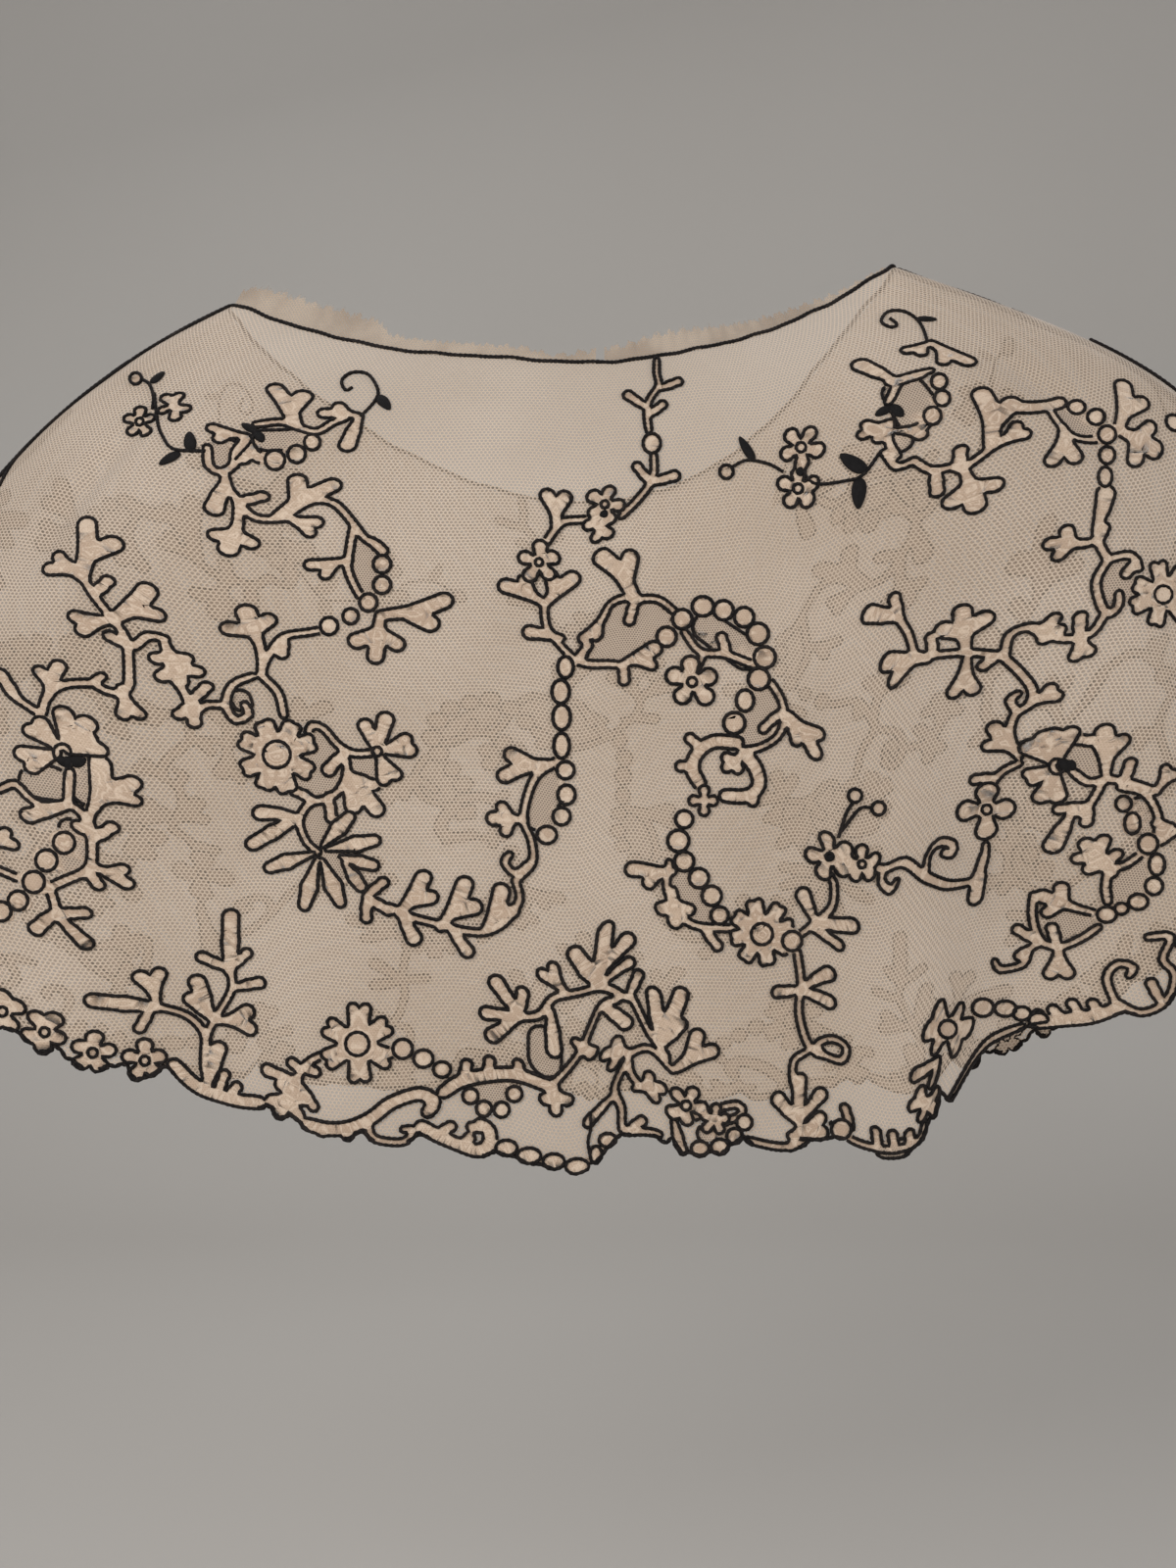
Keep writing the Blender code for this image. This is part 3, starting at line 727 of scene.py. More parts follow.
# Flowers
# Small roses and daisies of the same net, each petal cut round or notched at its end.
# An eye is a ring of cord sewn in the middle of some of them.
Flower = namedtuple("Flower", "x y reach petals turn eye")
FLOWERS = [
    (143, 431, 17, 5, 90, 4), (178, 415, 17, 5, 60, 0), (283, 770, 40, 8, 20, 14),
    (617, 515, 21, 5, 70, 4), (612, 537, 18, 5, 250, 0), (706, 696, 27, 5, 20, 5),
    (718, 817, 15, 4, 90, 0), (777, 953, 34, 8, 12, 11), (846, 874, 24, 5, 100, 4),
    (879, 882, 20, 5, 20, 4), (1006, 826, 29, 4, 0, 5), (817, 457, 23, 5, 60, 5),
    (814, 499, 23, 5, 20, 5), (1186, 607, 34, 7, 0, 9), (966, 1050, 28, 6, 0, 9),
    (944, 1126, 18, 5, 40, 0), (365, 1065, 40, 6, 30, 12), (3, 1032, 21, 5, 15, 5),
    (46, 1053, 22, 5, 50, 5), (95, 1074, 22, 5, 80, 5), (148, 1082, 22, 5, 20, 5),
    (700, 1128, 21, 5, 60, 5), (729, 1142, 16, 5, 10, 0), (550, 574, 22, 5, 90, 4),
    (-92, 640, 34, 7, 20, 9), (-126, 560, 20, 5, 40, 5), (-40, 1016, 21, 5, 30, 5),
    (-84, 994, 21, 5, 10, 5), (-124, 966, 21, 5, 60, 5), (1230, 690, 26, 6, 20, 7),
    (1222, 960, 24, 6, 0, 7), (-112, 800, 26, 6, 40, 7),
]
# Half flowers, whose petals are set one by one, and their eyes.
LOOSE_PETALS = [
    ("petal", 65, 768, 80, 726), ("petal", 65, 768, 32, 736), ("petal", 65, 768, 21, 778),
    ("petal", 65, 768, 104, 757), ("club", 385, 767, 371, 736), ("club", 385, 767, 395, 729),
    ("petal", 385, 767, 423, 759), ("petal", 385, 767, 400, 799),
    ("petal", 1078, 782, 1085, 742), ("petal", 1078, 782, 1052, 752),
    ("petal", 1078, 782, 1046, 795), ("petal", 1078, 782, 1068, 819),
]
Eye = namedtuple("Eye", "x y reach")
EYES = [(64, 768, 9), (385, 767, 5), (1078, 782, 8)]
# A spidery flower of long slack petals.
Petal = namedtuple("Petal", "foot_x foot_y tip_x tip_y radius")
PETALS = [
    (326, 869, 269, 888, 3.3), (326, 870, 309, 931, 3.5), (327, 872, 350, 927, 3.9),
    (326, 867, 361, 829, 3.4), (328, 868, 390, 856, 3.4), (344, 873, 386, 884, 2.8),
    (349, 877, 371, 908, 2.8),
]
PETAL_END = 2.5
# Flowers over the shoulders, by turn round the neck and by share of the way down.
ShoulderFlower = namedtuple("ShoulderFlower", "around down reach petals turn eye")
SHOULDER_FLOWERS = [
    (-86.2, 0.585, 21, 5, 10, 5), (-80.6, 0.725, 31, 7, 20, 8), (-70.2, 0.952, 21, 5, 15, 5),
    (-75.2, 0.957, 21, 5, 50, 5), (-80.2, 0.957, 21, 5, 80, 5), (-85.4, 0.955, 21, 5, 20, 5),
    (75.0, 0.945, 21, 5, 30, 5), (80.2, 0.952, 21, 5, 60, 5), (85.6, 0.955, 21, 5, 10, 5),
    (87.4, 0.79, 20, 5, 30, 4),
]
PIXEL_MM = 0.44
RING_SPOTS = 14
NOTCHED_FROM = 30.0
PETAL_NOTCH = 0.33
NOTCHED_TIP = 0.13
ROUND_TIP = 0.36
PETAL_LEAN_UNEVEN = 0.08
PETAL_REACH_UNEVEN = 0.07
PETAL_FOOT = 0.30
PETAL_FOOT_RADIUS = 0.16
NOTCHED_HEART, ROUND_HEART = 0.46, 0.32
SLACK_FOOT, SLACK_WIDEST, SLACK_TIP = 0.10, 0.58, 0.88
SLACK_FOOT_RADIUS = 0.9
flower_shapes = blank_chart()
rings = []


def seen_from(x, y):
    """Places right of and below a pixel of the view."""
    def place_at(right, below):
        return picture_to_flat(x + right, y + below)

    return place_at


def cut_from(turn, down):
    """The same round a place on the cut, where the view doesn't reach."""
    middle = np.array(flat_place(turn, down))

    def place_at(right, below):
        return middle - np.array([right, below]) * PIXEL_MM

    return place_at


def ring_route(place_at, half_width, half_height):
    angles = np.arange(RING_SPOTS) * 2.0 * np.pi / RING_SPOTS
    return np.array([
        place_at(half_width * math.cos(a), half_height * math.sin(a)) for a in angles
    ])


def add_flower(place_at, flower):
    middle = place_at(0.0, 0.0)
    notched = flower.reach >= NOTCHED_FROM
    share = math.pi / flower.petals
    round_tip = min(ROUND_TIP, 0.56 * math.sin(share))
    tip = flower.reach * (NOTCHED_TIP if notched else round_tip)
    for k in range(flower.petals):
        uneven = draw.uniform(-PETAL_LEAN_UNEVEN, PETAL_LEAN_UNEVEN)
        heading = math.radians(flower.turn) + 2.0 * share * k + uneven
        reach = flower.reach * (1.0 + draw.uniform(-PETAL_REACH_UNEVEN, PETAL_REACH_UNEVEN))
        for lean in (-PETAL_NOTCH, PETAL_NOTCH) if notched else (0.0,):
            out = heading + lean * share
            far = place_at((reach - tip) * math.cos(out), -(reach - tip) * math.sin(out))
            near = middle + (far - middle) * PETAL_FOOT
            foot_radius = PETAL_FOOT_RADIUS * reach * PIXEL_MM
            add_taper(flower_shapes, near, far, foot_radius, tip * PIXEL_MM)
    heart = (NOTCHED_HEART if notched else ROUND_HEART) * flower.reach * PIXEL_MM
    add_taper(flower_shapes, middle, middle, heart, heart)
    if flower.eye:
        rings.append(ring_route(place_at, flower.eye, flower.eye))


for flower in (Flower(*row) for row in FLOWERS):
    add_flower(seen_from(flower.x, flower.y), flower)
for flower in (ShoulderFlower(*row) for row in SHOULDER_FLOWERS):
    add_flower(cut_from(flower.around, flower.down), flower)
for leaf in (Leaf(*row) for row in LOOSE_PETALS):
    add_seen_leaf(flower_shapes, leaf)
for eye in (Eye(*row) for row in EYES):
    rings.append(ring_route(seen_from(eye.x, eye.y), eye.reach, eye.reach))
for petal in (Petal(*row) for row in PETALS):
    foot = picture_to_flat(petal.foot_x, petal.foot_y)
    tip = picture_to_flat(petal.tip_x, petal.tip_y)
    run = tip - foot
    widest = foot + SLACK_WIDEST * run
    add_taper(flower_shapes, foot + SLACK_FOOT * run, widest, SLACK_FOOT_RADIUS, petal.radius)
    add_taper(flower_shapes, widest, foot + SLACK_TIP * run, petal.radius, PETAL_END)

# Beads
# Rows of small net ovals, each ringed with cord so that they read as strung beads.
Bead = namedtuple("Bead", "x y half_width half_height")
BEADS = [
    (139, 387, 6, 6), (281, 470, 10, 10), (303, 464, 9, 9), (319, 452, 8, 8),
    (390, 576, 9, 9), (390, 597, 9, 9), (376, 615, 9, 9), (358, 629, 8, 8), (336, 639, 9, 9),
    (66, 860, 11, 11), (48, 878, 11, 11), (35, 900, 11, 11), (19, 919, 10, 10), (2, 930, 10, 10),
    (577, 681, 8, 11), (572, 706, 9, 12), (573, 732, 9, 13), (573, 761, 8, 13),
    (577, 786, 9, 9), (578, 811, 9, 10), (573, 833, 9, 9), (558, 852, 10, 9),
    (665, 453, 9, 10), (696, 632, 10, 10), (680, 650, 10, 10), (717, 619, 11, 10),
    (738, 623, 10, 10), (759, 630, 10, 10), (773, 647, 11, 11), (780, 671, 11, 11),
    (774, 693, 11, 11), (760, 715, 9, 11), (749, 738, 11, 11), (698, 836, 9, 9),
    (692, 858, 11, 11), (698, 879, 10, 10), (713, 896, 10, 10), (726, 914, 10, 10),
    (734, 934, 9, 9), (808, 960, 10, 10), (872, 812, 7, 7), (896, 825, 7, 7),
    (958, 390, 8, 8), (961, 407, 8, 8), (951, 425, 9, 9), (741, 482, 7, 7),
    (1098, 416, 9, 7), (1118, 426, 9, 8), (1129, 444, 9, 9), (1129, 465, 8, 9),
    (1127, 487, 7, 10), (1146, 820, 8, 8), (1155, 840, 8, 11), (1171, 861, 10, 10),
    (1180, 882, 8, 11), (1177, 904, 9, 9), (1161, 920, 10, 8), (1144, 927, 7, 6),
    (1129, 933, 10, 8), (1002, 1028, 11, 9), (1025, 1029, 11, 8), (1042, 1034, 9, 7),
    (1059, 1041, 10, 8), (411, 1070, 10, 10), (432, 1080, 10, 9), (451, 1091, 9, 8),
    (480, 1118, 8, 8), (494, 1131, 8, 8), (512, 1132, 8, 8), (525, 1116, 8, 8),
    (517, 1171, 11, 8), (540, 1179, 12, 8), (565, 1185, 11, 8), (589, 1190, 12, 8),
    (608, 1178, 6, 9), (620, 1163, 9, 7), (759, 1145, 8, 8), (749, 1159, 8, 8),
    (734, 1170, 9, 8), (714, 1172, 9, 8), (118, 366, 7, 6), (858, 1152, 10, 10),
    (1214, 600, 8, 8), (-20, 926, 9, 9), (-40, 916, 9, 9), (-58, 902, 9, 9),
    (-60, 700, 8, 8), (-78, 700, 8, 8),
]
bead_shapes = blank_chart()
bead_rings = []
for bead in (Bead(*row) for row in BEADS):
    short = min(bead.half_width, bead.half_height)
    wide, tall = bead.half_width - short, bead.half_height - short
    one = picture_to_flat(bead.x - wide, bead.y - tall)
    other = picture_to_flat(bead.x + wide, bead.y + tall)
    add_taper(bead_shapes, one, other, short * PIXEL_MM, short * PIXEL_MM)
    bead_rings.append(ring_route(seen_from(bead.x, bead.y), bead.half_width, bead.half_height))

# Lattice grounds
# Inside a curve of beads a patch of doubled net is left, plain, where the vine turns. It
# fills the space that the shapes close in, or else is a round-ended bar.
Patch = namedtuple("Patch", "from_x from_y to_x to_y radius")
PATCHES = [
    (229, 464, 236, 468, 9), (273, 450, 308, 448, 12), (373, 577, 374, 602, 11),
    (41, 798, 54, 799, 16), (93, 790, 91, 808, 14), (324, 768, 331, 790, 19),
    (372, 784, 375, 789, 11), (326, 834, 324, 848, 8), (340, 883, 351, 895, 9),
    (560, 797, 554, 828, 12), (636, 654, 672, 632, 16), (722, 640, 762, 668, 15),
    (772, 706, 776, 740, 9), (693, 887, 718, 935, 10), (922, 400, 936, 422, 17),
    (915, 446, 915, 452, 12), (1090, 425, 1114, 438, 10), (1104, 768, 1113, 785, 16),
    (1141, 907, 1160, 890, 13), (1161, 824, 1168, 842, 10), (1084, 944, 1112, 938, 10),
    (488, 1113, 516, 1113, 9), (556, 1064, 556, 1082, 16), (720, 1156, 742, 1153, 9),
    (76, 848, 74, 884, 11), (246, 712, 248, 718, 8), (1132, 600, 1136, 610, 7),
    (-40, 896, -60, 882, 12), (900, 1174, 922, 1176, 9),
]
GROUND_GAPS = (1.2, 1.8)
GROUND_REACH = 60
GROUND_BLURS = 2
GROUND_SLOPE = 2.4
patch_shapes = blank_chart()
worked_shapes = np.minimum(np.minimum(vine, flower_shapes), bead_shapes)


def one_cell_wider(cells):
    wider = cells.copy()
    wider[1:] |= cells[:-1]
    wider[:-1] |= cells[1:]
    wider[:, 1:] |= cells[:, :-1]
    wider[:, :-1] |= cells[:, 1:]
    return wider


def fill_ground(place, gap):
    """Fills the space that stems and beads close in round a place, if they do."""
    i = int(np.searchsorted(chart_x, place[0]))
    j = int(np.searchsorted(chart_y, place[1]))
    low_i, low_j = max(i - GROUND_REACH, 0), max(j - GROUND_REACH, 0)
    window = np.s_[low_i:i + GROUND_REACH, low_j:j + GROUND_REACH]
    free = worked_shapes[window] > gap
    ground = np.zeros_like(free)
    ground[i - low_i, j - low_j] = True
    ground &= free
    while True:
        wider = one_cell_wider(ground) & free
        if (wider == ground).all():
            break
        ground = wider
    if not ground.any() or ground[[0, -1]].any() or ground[:, [0, -1]].any():
        return False
    for _ in range(int(gap / CHART_CELL) + 1):
        ground = one_cell_wider(ground)
    soft = ground.astype(float)
    for _ in range(GROUND_BLURS):
        for axis in (0, 1):
            soft = (soft + np.roll(soft, 1, axis) + np.roll(soft, -1, axis)) / 3
    patch_shapes[window] = np.minimum(patch_shapes[window], (0.5 - soft) * GROUND_SLOPE)
    return True


for patch in (Patch(*row) for row in PATCHES):
    one = picture_to_flat(patch.from_x, patch.from_y)
    other = picture_to_flat(patch.to_x, patch.to_y)
    if not any(fill_ground((one + other) / 2, gap) for gap in GROUND_GAPS):
        add_taper(patch_shapes, one, other, patch.radius * PIXEL_MM, patch.radius * PIXEL_MM)
whole_design = np.minimum(worked_shapes, patch_shapes)


def chart_read(chart, x, y):
    i = np.clip((np.asarray(x) - chart_x[0]) / CHART_CELL, 0, len(chart_x) - 1.001)
    j = np.clip((np.asarray(y) - chart_y[0]) / CHART_CELL, 0, len(chart_y) - 1.001)
    i0, j0 = i.astype(int), j.astype(int)
    u, v = i - i0, j - j0
    low = chart[i0, j0] * (1 - u) + chart[i0 + 1, j0] * u
    high = chart[i0, j0 + 1] * (1 - u) + chart[i0 + 1, j0 + 1] * u
    return low * (1 - v) + high * v


# Hem line
# The net was cut away below the lowest row of cord, so its hem follows the design, and
# between the motifs it runs along the plain scalloped hem.
HEM_SEARCH_FROM, HEM_SEARCH_TO = 0.955, 1.045
HEM_SEARCH_STEPS = 120
HEM_REST_FROM = 0.90
BACK_LIMIT = 86.0
search = np.linspace(HEM_SEARCH_FROM, HEM_SEARCH_TO, HEM_SEARCH_STEPS)
back_side_turns = about_zero(turns, HALF_TURN)
hem_x, hem_y = flat_place(back_side_turns[:, None], search[None, :])
covered = chart_read(whole_design, hem_x, hem_y) < 0.0
last = HEM_SEARCH_STEPS - 1 - np.argmax(covered[:, ::-1], axis=1)
on_motif = covered.any(axis=1) & (np.abs(back_side_turns) < BACK_LIMIT)
hem_edge = np.where(on_motif, search[last], 1.0)
hem_edge = 0.25 * np.roll(hem_edge, 1) + 0.5 * hem_edge + 0.25 * np.roll(hem_edge, -1)


def hem_at(turn):
    all_turns, all_edges = np.append(turns, FULL_TURN), np.append(hem_edge, hem_edge[0])
    return np.interp(np.asarray(turn) % FULL_TURN, all_turns, all_edges)


# Net halves
# The cape itself: fine six-sided cotton net, one layer, in a left and a right half. It
# was cut as part of a ring and hangs from the shoulders in soft folds.
NET_PITCH = 1.75
NET_COLUMNS = 360
NET_ROWS = 116
CUT_SPAN = 1600.0
ECRU_SHADE, ECRU = (0.475, 0.365, 0.27, 1.0), (0.55, 0.435, 0.335, 1.0)
# The lightest ecru, below, is a painted highlight on the threads, scattered as fine flecks.
ECRU_THREAD_GLINT = (0.64, 0.53, 0.42, 1.0)
# Sockets of a node that share a name with others, by their number.
FIRST_COLOUR, SECOND_COLOUR, MIXED_COLOUR = 6, 7, 2
FLOAT_VALUE = 2
OBJECT_PLACE = 3


class Wire:
    """A socket that takes sums, so that a weave reads as its formula."""

    def __init__(self, finish, socket):
        self.finish = finish
        self.socket = socket

    def maths(self, operation, *values):
        inputs = dict(enumerate(values))
        return self.finish.node("ShaderNodeMath", {"operation": operation}, inputs)

    def __add__(self, other):
        return self.maths("ADD", self, other)

    def __sub__(self, other):
        return self.maths("SUBTRACT", self, other)

    def __rsub__(self, other):
        return self.maths("SUBTRACT", other, self)

    def __mul__(self, other):
        return self.maths("MULTIPLY", self, other)

    def __mod__(self, other):
        return self.maths("FLOORED_MODULO", self, other)

    def __abs__(self):
        return self.maths("ABSOLUTE", self)

    __radd__ = __add__
    __rmul__ = __mul__

    def least(self, other):
        return self.maths("MINIMUM", self, other)

    def most(self, other):
        return self.maths("MAXIMUM", self, other)

    def fade(self, low, high):
        """0 at low, 1 at high, smooth between."""
        inputs = {"Value": self, "From Min": low, "From Max": high}
        return self.finish.node("ShaderNodeMapRange", {"interpolation_type": "SMOOTHSTEP"}, inputs)


class Finish:
    """One material; what is the same all over is given by name when it is made."""

    def __init__(self, name, **plain):
        self.material = bpy.data.materials.new(name)
        self.material.use_nodes = True
        self.tree = self.material.node_tree
        self.shader = self.tree.nodes["Principled BSDF"]
        for socket, value in plain.items():
            self.shader.inputs[socket.replace("_", " ")].default_value = value

    def node(self, kind, settings=None, inputs=None, output=0):
        made = self.tree.nodes.new(kind)
        for name, value in (settings or {}).items():
            setattr(made, name, value)
        for name, value in (inputs or {}).items():
            if isinstance(value, Wire):
                self.tree.links.new(value.socket, made.inputs[name])
            else:
                made.inputs[name].default_value = value
        return Wire(self, made.outputs[output])

    def feed(self, name, wire):
        self.tree.links.new(wire.socket, self.shader.inputs[name])

    def mix(self, share, first, second):
        inputs = {"Factor": share, FIRST_COLOUR: first, SECOND_COLOUR: second}
        return self.node("ShaderNodeMix", {"data_type": "RGBA"}, inputs, MIXED_COLOUR)

    def own_place(self):
        return self.node("ShaderNodeTexCoord", output=OBJECT_PLACE)

    def noise(self, scale, detail=2.0):
        inputs = {"Vector": self.own_place(), "Scale": scale, "Detail": detail}
        return self.node("ShaderNodeTexNoise", {}, inputs)

    def value(self, title):
        """A number that the piece holds for each of its points."""
        return self.node("ShaderNodeAttribute", {"attribute_name": title}, output=FLOAT_VALUE)

    def raise_by(self, height, strength, distance):
        inputs = {"Height": height, "Strength": strength, "Distance": distance}
        self.feed("Normal", self.node("ShaderNodeBump", {}, inputs))

    def cut_place(self):
        """The place on the flat cut, as two sums in millimetres."""
        uv = self.node("ShaderNodeUVMap", {"uv_map": "cut"})
        parts = self.node("ShaderNodeSeparateXYZ", {}, {"Vector": uv})
        up = Wire(self, parts.socket.node.outputs["Y"])
        return parts * CUT_SPAN, up * CUT_SPAN

    def hexagons(self, x, y, pitch):
        """Distance from a six-sided mesh's threads, from 0 to half the pitch."""
        tall = pitch * math.sqrt(3.0)
        nearest = None
        for shift in (0.0, 0.5):
            across = abs((x + shift * pitch) % pitch - pitch / 2)
            along = abs((y + shift * tall) % tall - tall / 2)
            reach = across.most(across * 0.5 + along * 0.866)
            nearest = reach if nearest is None else nearest.least(reach)
        return pitch / 2 - nearest


ecru = Finish("ecru_net", Roughness=0.82, Sheen_Weight=0.25, Sheen_Roughness=0.45)
x, y = ecru.cut_place()
wander = (ecru.noise(26.0) - 0.5) * 1.4
gap = ecru.hexagons(x + wander, y - wander, NET_PITCH)
thread = 1.0 - gap.fade(0.16, 0.40)
cloudy = ecru.noise(9.0, 3.0).fade(0.38, 0.66)
fine = ecru.noise(420.0, 1.0)
cloth = ecru.mix(cloudy, ECRU_SHADE, ECRU)
# Fine noise flecks the net toward a lighter ecru: painted highlights on its threads.
ecru.feed("Base Color", ecru.mix(fine * 0.25, cloth, ECRU_THREAD_GLINT))
ecru.feed("Alpha", thread * 0.64 + 0.30)
ecru.raise_by(thread, 0.25, 0.0003)


def cut_map(mesh, flat):
    """Stores each corner's place on the flat cut, as a share of the cut's span."""
    layer = mesh.uv_layers.new(name="cut")
    corners = np.empty(len(mesh.loops), dtype=int)
    mesh.loops.foreach_get("vertex_index", corners)
    layer.data.foreach_set("uv", (np.asarray(flat)[corners] / CUT_SPAN + 0.5).ravel())


def add_piece(name, data, finish):
    """Puts a finished mesh or curve in the scene, on the part's one body."""
    data.materials.append(finish.material)
    piece = bpy.data.objects.new(name, data)
    bpy.context.collection.objects.link(piece)
    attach(piece, "root")
    return piece


def lay_sheet(name, columns, rows, place, finish):
    """A grid laid over the places that place(i, j) gives, with its flat cut as its map."""
    grid = bmesh.new()
    bmesh.ops.create_grid(grid, x_segments=columns, y_segments=rows, size=1.0)
    mesh = bpy.data.meshes.new(name)
    grid.to_mesh(mesh)
    grid.free()
    spots = np.empty(len(mesh.vertices) * 3)
    mesh.vertices.foreach_get("co", spots)
    spots = spots.reshape(-1, 3)
    points, flat = place((spots[:, 0] + 1) / 2 * columns, (spots[:, 1] + 1) / 2 * rows)
    mesh.vertices.foreach_set("co", points.ravel())
    cut_map(mesh, flat)
    mesh.shade_smooth()
    mesh.update()
    return add_piece(name, mesh, finish)


def net_half(name, first_turn):
    def place(i, j):
        turn = first_turn + CENTRE_FRONT * np.round(i) / NET_COLUMNS
        share = np.round(j) / NET_ROWS
        rest = (share - HEM_REST_FROM) / (1.0 - HEM_REST_FROM)
        low = HEM_REST_FROM + rest * (hem_at(turn) - HEM_REST_FROM)
        down = np.where(share < HEM_REST_FROM, share, low)
        return on_net(turn, down), np.stack(flat_place(turn, down), axis=1)

    return lay_sheet(name, NET_COLUMNS, NET_ROWS, place, ecru)


half_angle = math.radians(CUT_ANGLE / 2)
outer_radius = NECK_RADIUS + CUT_DEPTH
half_width = outer_radius * math.sin(half_angle) * MM
for name, first_turn in (("net_left", 0.0), ("net_right", -CENTRE_FRONT)):
    net = net_half(f"{name}_cloth", first_turn)
    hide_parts(name)

# Applique
# The second net, a little warmer, sewn over the first and cut away outside the cord.
# Fine chain stitching runs inside each edge, and the lattice grounds are left open.
APPLIQUE_CELL = 1.25
APPLIQUE_LIFT = 0.30
APPLIQUE_PUFF = 0.45
APPLIQUE_PITCH = 1.15
STITCH_ROW = 1.5
OUTSIDE_FROM = 0.12
RIM_PASSES = 3
RIM_LONGEST_MOVE = 0.9
LEAST_STEEP = 0.25
SLIVER = 0.05
PUFF_REACH = 2.2
GROUND_FADE = 0.7
APPLIQUE_BELOW_HEM = 0.002
PEACH_SHADE, PEACH = (0.45, 0.325, 0.232, 1.0), (0.545, 0.412, 0.302, 1.0)
# The darker gap colour below is painted shade for the gaps between the weave's threads.
PEACH_GAP_SHADE, PEACH_STITCH_HIGHLIGHT = (0.32, 0.22, 0.15, 1.0), (0.70, 0.56, 0.43, 1.0)
PEACH_FLECK = (0.36, 0.25, 0.165, 1.0)
# The hole colour of the lattice ground is painted shade, seen through the doubled net.
GROUND_HOLE_SHADE, GROUND_THREAD = (0.24, 0.18, 0.135, 1.0), (0.47, 0.365, 0.275, 1.0)

applique = Finish("peach_applique", Roughness=0.78, Sheen_Weight=0.3, Sheen_Roughness=0.4)
x, y = applique.cut_place()
edge, lattice = applique.value("from_edge"), applique.value("lattice")
weave = 1.0 - applique.hexagons(x, y, APPLIQUE_PITCH).fade(0.10, 0.30)
stitch_place = (edge + applique.noise(300.0, 1.0) * 0.5) % STITCH_ROW
stitched = abs(stitch_place - STITCH_ROW / 2).fade(0.12, 0.40)
patchy = applique.noise(34.0, 3.0).fade(0.36, 0.66)
flecked = applique.noise(900.0).fade(0.50, 0.72) * 0.45
plain = applique.mix(patchy, PEACH_SHADE, PEACH)
# Painted shade darkens the gaps between the weave's threads.
plain = applique.mix(weave * 0.35 + 0.65, PEACH_GAP_SHADE, plain)
# The chain stitch rows are painted lighter: their own thread, with a painted highlight on the
# raised stitches.
worked = applique.mix(stitched * 0.55 + 0.45, PEACH_STITCH_HIGHLIGHT, plain)
worked = applique.mix(flecked, worked, PEACH_FLECK)
# The lattice ground's holes are painted dark as shade, between threads of a plain ecru.
ground = applique.mix(weave, GROUND_HOLE_SHADE, GROUND_THREAD)
applique.feed("Base Color", applique.mix(lattice, worked, ground))
applique.raise_by(weave * 0.4 - stitched * 0.6, 0.5, 0.0004)
applique.feed("Alpha", 1.0 - lattice * (1.0 - weave) * 0.35)


def slope_of(chart, x, y):
    step = CHART_CELL
    return np.stack(
        [
            chart_read(chart, x + step, y) - chart_read(chart, x - step, y),
            chart_read(chart, x, y + step) - chart_read(chart, x, y - step),
        ],
        axis=1,
    ) / (2 * step)


def cut_applique(left, right):
    """The design's cloth between two sides of the chart, flat, its rim on the edges."""
    columns = int((right - left) / APPLIQUE_CELL)
    rows = int((CHART_HIGH - CHART_LOW) / APPLIQUE_CELL)
    work = bmesh.new()
    bmesh.ops.create_grid(work, x_segments=columns, y_segments=rows, size=0.5)
    bmesh.ops.scale(work, vec=(right - left, CHART_HIGH - CHART_LOW, 1.0), verts=work.verts)
    middle = ((left + right) / 2, (CHART_LOW + CHART_HIGH) / 2, 0.0)
    bmesh.ops.translate(work, vec=middle, verts=work.verts)
    spots = np.array([vert.co[:2] for vert in work.verts])
    off = chart_read(whole_design, spots[:, 0], spots[:, 1])
    corners = np.array([[vert.index for vert in face.verts] for face in work.faces])
    outside = off[corners].mean(axis=1) > OUTSIDE_FROM
    rim = np.zeros(len(off), dtype=bool)
    rim[corners[outside].ravel()] = True
    faces = list(work.faces)
    bmesh.ops.delete(work, geom=[faces[k] for k in np.flatnonzero(outside)], context="FACES")
    for vert in work.verts:
        vert.tag = bool(rim[vert.index])
    kept = list(work.verts)
    spots = np.array([vert.co[:2] for vert in kept])
    tagged = np.array([vert.tag for vert in kept])
    for _ in range(RIM_PASSES):
        off = chart_read(whole_design, spots[:, 0], spots[:, 1])
        slope = slope_of(whole_design, spots[:, 0], spots[:, 1])
        steep = np.maximum((slope**2).sum(axis=1), LEAST_STEEP)
        move = np.clip(off / steep, -RIM_LONGEST_MOVE, RIM_LONGEST_MOVE)[:, None] * slope
        spots = np.where(tagged[:, None], spots - move, spots)
    for vert, spot in zip(kept, spots):
        vert.co = (spot[0], spot[1], 0.0)
    bmesh.ops.dissolve_degenerate(work, dist=SLIVER, edges=work.edges[:])
    return work


def lay_applique(name, flat_work, turn_shift):
    mesh = bpy.data.meshes.new(name)
    flat_work.to_mesh(mesh)
    spots = np.array([vert.co[:2] for vert in mesh.vertices])
    inset = np.maximum(-chart_read(whole_design, spots[:, 0], spots[:, 1]), 0.0)
    off_worked = chart_read(worked_shapes, spots[:, 0], spots[:, 1])
    open_ground = smooth_step(off_worked / GROUND_FADE)
    turn, down = worn_place(spots[:, 0], spots[:, 1])
    puff = APPLIQUE_PUFF * smooth_step(inset / PUFF_REACH) * (1.0 - open_ground)
    lift = APPLIQUE_LIFT + puff
    down = np.minimum(down, hem_at(turn) + APPLIQUE_BELOW_HEM)
    mesh.vertices.foreach_set("co", on_net(turn + turn_shift, down, lift).ravel())
    cut_map(mesh, spots)
    for title, values in (("from_edge", inset), ("lattice", open_ground)):
        mesh.attributes.new(title, "FLOAT", "POINT").data.foreach_set("value", values)
    mesh.shade_smooth()
    mesh.update()
    add_piece(name, mesh, applique)


for side, across_side, left, right in (
    ("left", "right", 0.0, CHART_RIGHT),
    ("right", "left", CHART_LEFT, 0.0),
):
    flat_work = cut_applique(left, right)
    lay_applique(f"applique_back_{side}", flat_work, 0.0)
    lay_applique(f"applique_front_{across_side}", flat_work, CENTRE_FRONT)
    flat_work.free()

